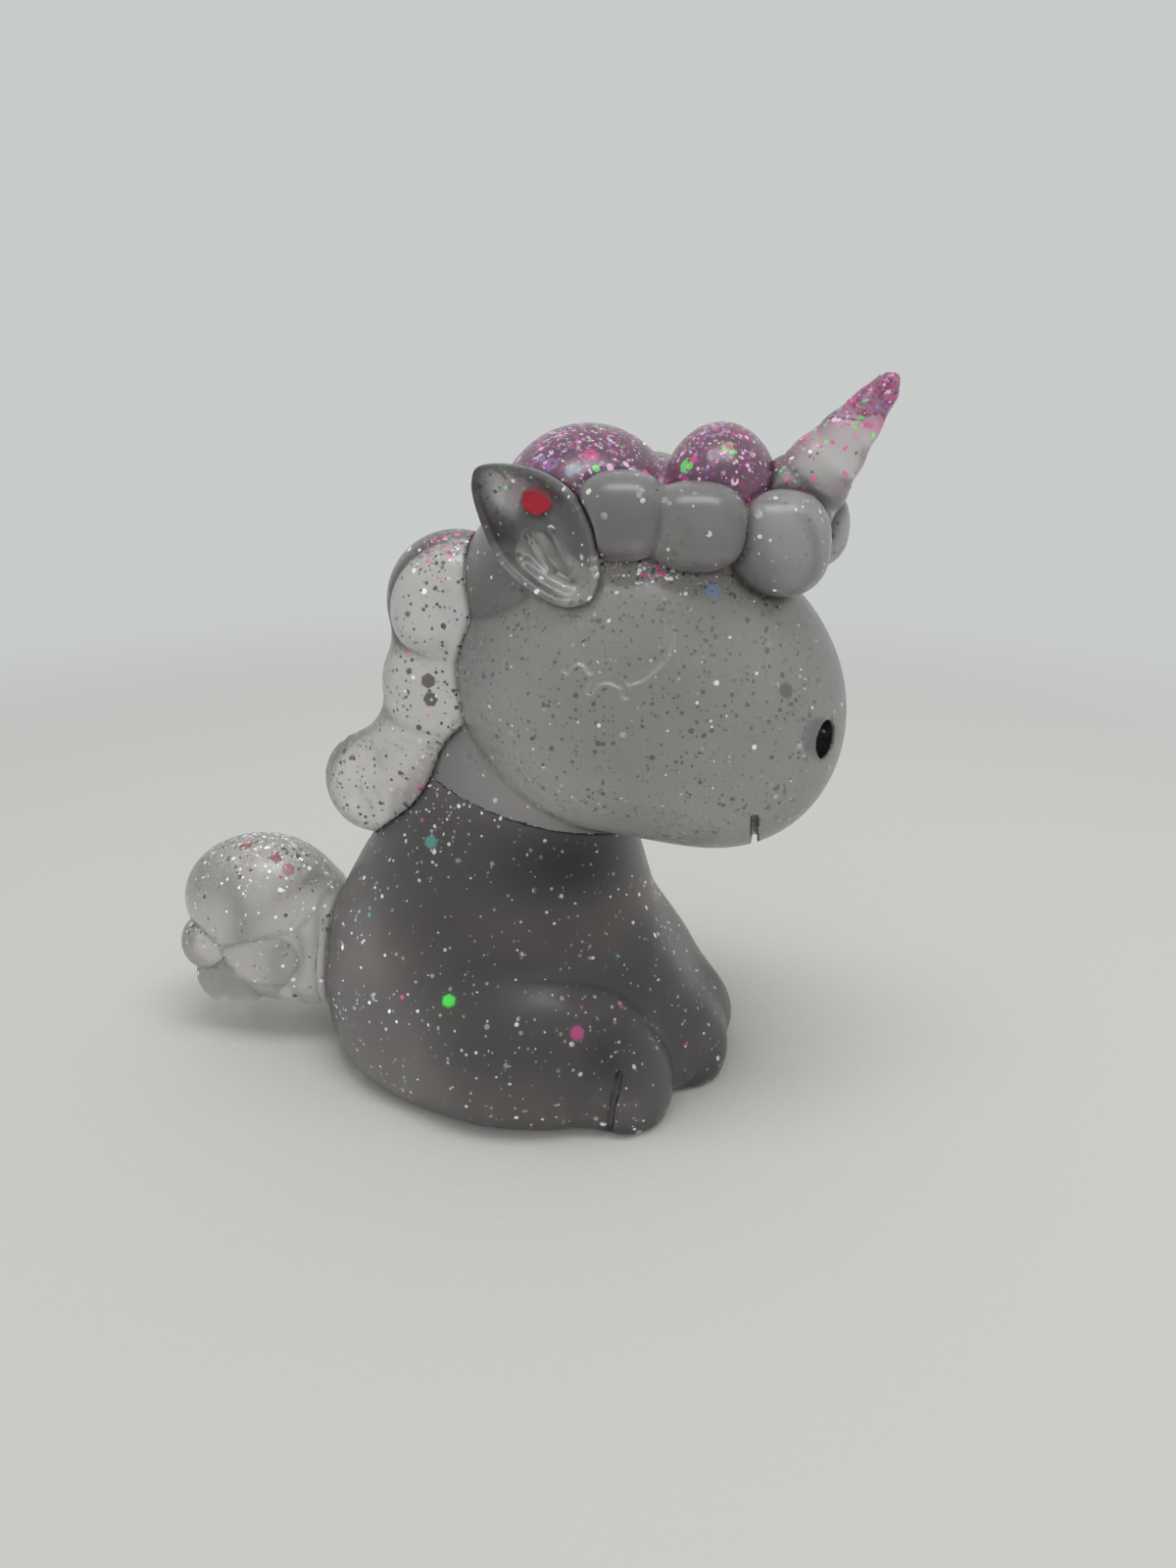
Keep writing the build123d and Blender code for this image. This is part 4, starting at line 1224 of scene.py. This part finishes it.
brow_cluster = ((16.5, -11.5, 66.3), (4.6, 4.0, 2.6))
nape_cluster = ((-8.9, -4.3, 66.0), (4.0, 4.0, 2.6))
shoulder_cluster = ((-9.0, -11.0, 34.0), (3.0, 4.0, 4.5))
# How often each colour comes in a pour or in a cluster.
body_mix = {"silver": 9, "white": 3, "black": 4, "turquoise": 0.1, "pink": 0.15}
shoulder_mix = {"silver": 4, "white": 5, "pink": 0.3}
head_mix = {"silver": 1.0, "white": 0.5, "black": 11, "red": 0.1, "green": 0.05}
brow_mix = {"silver": 3, "white": 6, "pink": 1.5, "turquoise": 0.3, "black": 1}
mane_mix = {"silver": 1, "white": 0.3, "black": 7, "pink": 0.2}
nape_mix = {"silver": 4, "white": 1, "pink": 5, "black": 2}
fringe_mix = {"silver": 1, "white": 0.7, "black": 6, "red": 0.2, "turquoise": 0.2}
tail_mix = {"silver": 4, "white": 3, "black": 3, "red": 0.4, "pink": 0.2}
horn_mix = {"silver": 2, "white": 1, "black": 1.5, "pink": 4, "red": 2, "green": 0.2}
crown_mix = {"silver": 6, "white": 4.5, "black": 1.5, "red": 4, "green": 0.4, "pink": 3}
crown_mix |= {"turquoise": 0.6, "blue": 2.5, "violet": 4}
tip_mix = {"silver": 2, "white": 1, "red": 5, "green": 0.3, "pink": 3, "blue": 1, "violet": 3}
# Pour, number of specks, share of them that lies anywhere, size, where they gather, mix.
sprinkles = (
    ("body", 3200, 0.45, 0.85, everywhere, body_mix),
    ("body", 70, 0.80, 0.9, shoulder_cluster, shoulder_mix),
    ("head", 8000, 0.70, 0.85, everywhere, head_mix),
    ("head", 230, 0.50, 0.95, brow_cluster, brow_mix),
    ("nape_mane", 1100, 0.30, 1.0, everywhere, mane_mix),
    ("nape_mane", 160, 0.50, 0.9, nape_cluster, nape_mix),
    ("fringe", 1000, 0.30, 1.0, everywhere, fringe_mix),
    ("tail", 1400, 0.10, 0.85, everywhere, tail_mix),
    ("horn_clear", 220, 0.04, 1.1, everywhere, horn_mix),
    ("crown_rolls", 3400, 0.35, 1.05, everywhere, crown_mix),
    ("horn_tip", 300, 0.35, 1.1, everywhere, tip_mix),
)


def foil(name, colour, rough, painted_glow):
    """Thin printed foil: bright where it catches the light, with a slightly uneven tone, and a painted glow
    in its own colour that stands in for glints.
    """
    mottle_scale, mottle_shade, silver_metal = 1500.0, 0.6, 0.6
    material = bpy.data.materials.new(f"{name}_foil")
    sheet = Finish(material)
    spot = sheet.add("TexCoord").outputs["Object"]
    mottle = sheet.add("TexNoise", {"Vector": spot, "Scale": mottle_scale, "Detail": 1.0})
    shade = tuple(mottle_shade * channel for channel in colour)
    tone = sheet.add(
        "Mix", {"Factor": mottle.outputs["Fac"], "A": (*shade, 1), "B": (*colour, 1)}, data_type="RGBA"
    )
    skin = sheet.add(
        "BsdfPrincipled",
        {
            "Base Color": tone.outputs["Result"],
            "Roughness": rough,
            "Metallic": silver_metal if name == "silver" else 0.0,
            # Painted glow: the foil shines a little on its own, standing in for glints.
            "Emission Color": (*colour, 1),
            "Emission Strength": painted_glow,
        },
    )
    sheet.add("OutputMaterial", {"Surface": skin.outputs[0]})
    return material


def read_faces(mesh, kind, width):
    """One row of a piece's face centres, normals or areas for each face."""
    rows = np.empty(len(mesh.polygons) * width)
    mesh.polygons.foreach_get(kind, rows)
    return rows.reshape(-1, width)


foil_finishes = {name: foil(name, *foils[name][:3]) for name in foils}
specks = {name: [] for name in foils}
chance = np.random.default_rng(7)
for name, count, anywhere, coarse, gathered, mix in sprinkles:
    piece, form, whole = castings[name][:3]
    centres = read_faces(piece.data, "center", 3) / MM
    normals = read_faces(piece.data, "normal", 3)
    areas = read_faces(piece.data, "area", 1)[:, 0]
    weight = areas * (anywhere + np.clip(normals[:, 2], 0, 1) ** facing_up)
    weight *= (np.abs(whole(centres)) < on_skin) * swirl(centres, *gathered)
    picked = chance.choice(len(centres), count, p=weight / weight.sum())
    sunk = speck_depth + chance.exponential(speck_depth_spread, count)
    tilted = normals[picked] + chance.normal(0, speck_tilt, (count, 3))
    tilted /= np.linalg.norm(tilted, axis=-1)[:, None]
    spots = centres[picked] + chance.normal(0, speck_jitter, (count, 3)) - normals[picked] * sunk[:, None]
    spread = np.exp(chance.normal(0, speck_size_spread, count))
    sizes = speck_width * coarse * np.clip(spread, *speck_size_limits)
    kept = (form(spots) < -speck_cover) & (spots[:, 2] > 0.5 * sizes)
    names = list(mix)
    shares = np.array([mix[key] for key in names])
    kinds = chance.choice(len(names), count, p=shares / shares.sum())
    for spot, facing, size, kind in zip(spots[kept], tilted[kept], sizes[kept], kinds[kept]):
        specks[names[kind]].append((spot, facing, size))

for name, chips in specks.items():
    hexagons = bmesh.new()
    for spot, facing, size in chips:
        aside = np.cross(facing, (0.3, 0.5, 0.81))
        aside /= np.linalg.norm(aside)
        upward = np.cross(facing, aside)
        rings = []
        for lift in (-0.5, 0.5):
            ring = []
            for corner in range(6):
                turn = np.pi / 3 * corner
                point = spot + size / 2 * (np.cos(turn) * aside + np.sin(turn) * upward)
                ring.append(hexagons.verts.new((point + lift * speck_thickness * facing) * MM))
            rings.append(ring)
        below, over = rings
        hexagons.faces.new(below[::-1])
        hexagons.faces.new(over)
        for i in range(6):
            j = (i + 1) % 6
            hexagons.faces.new((below[i], below[j], over[j], over[i]))
    speck_mesh = bpy.data.meshes.new(f"fine_glitter_{name}")
    hexagons.to_mesh(speck_mesh)
    hexagons.free()
    speck_mesh.materials.append(foil_finishes[name])
    cloud = put_in_scene(f"fine_glitter_{name}", speck_mesh)
    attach(cloud, "root")

for name in ("red", "green", "pink", "turquoise", "blue"):
    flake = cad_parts[f"flakes_{name}"]
    flake.data.materials.clear()
    flake.data.materials.append(foil_finishes[name])
maroon = foil("maroon", *maroon_foil)
dark_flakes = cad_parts["flakes_dark"]
dark_flakes.data.materials.clear()
dark_flakes.data.materials.append(maroon)
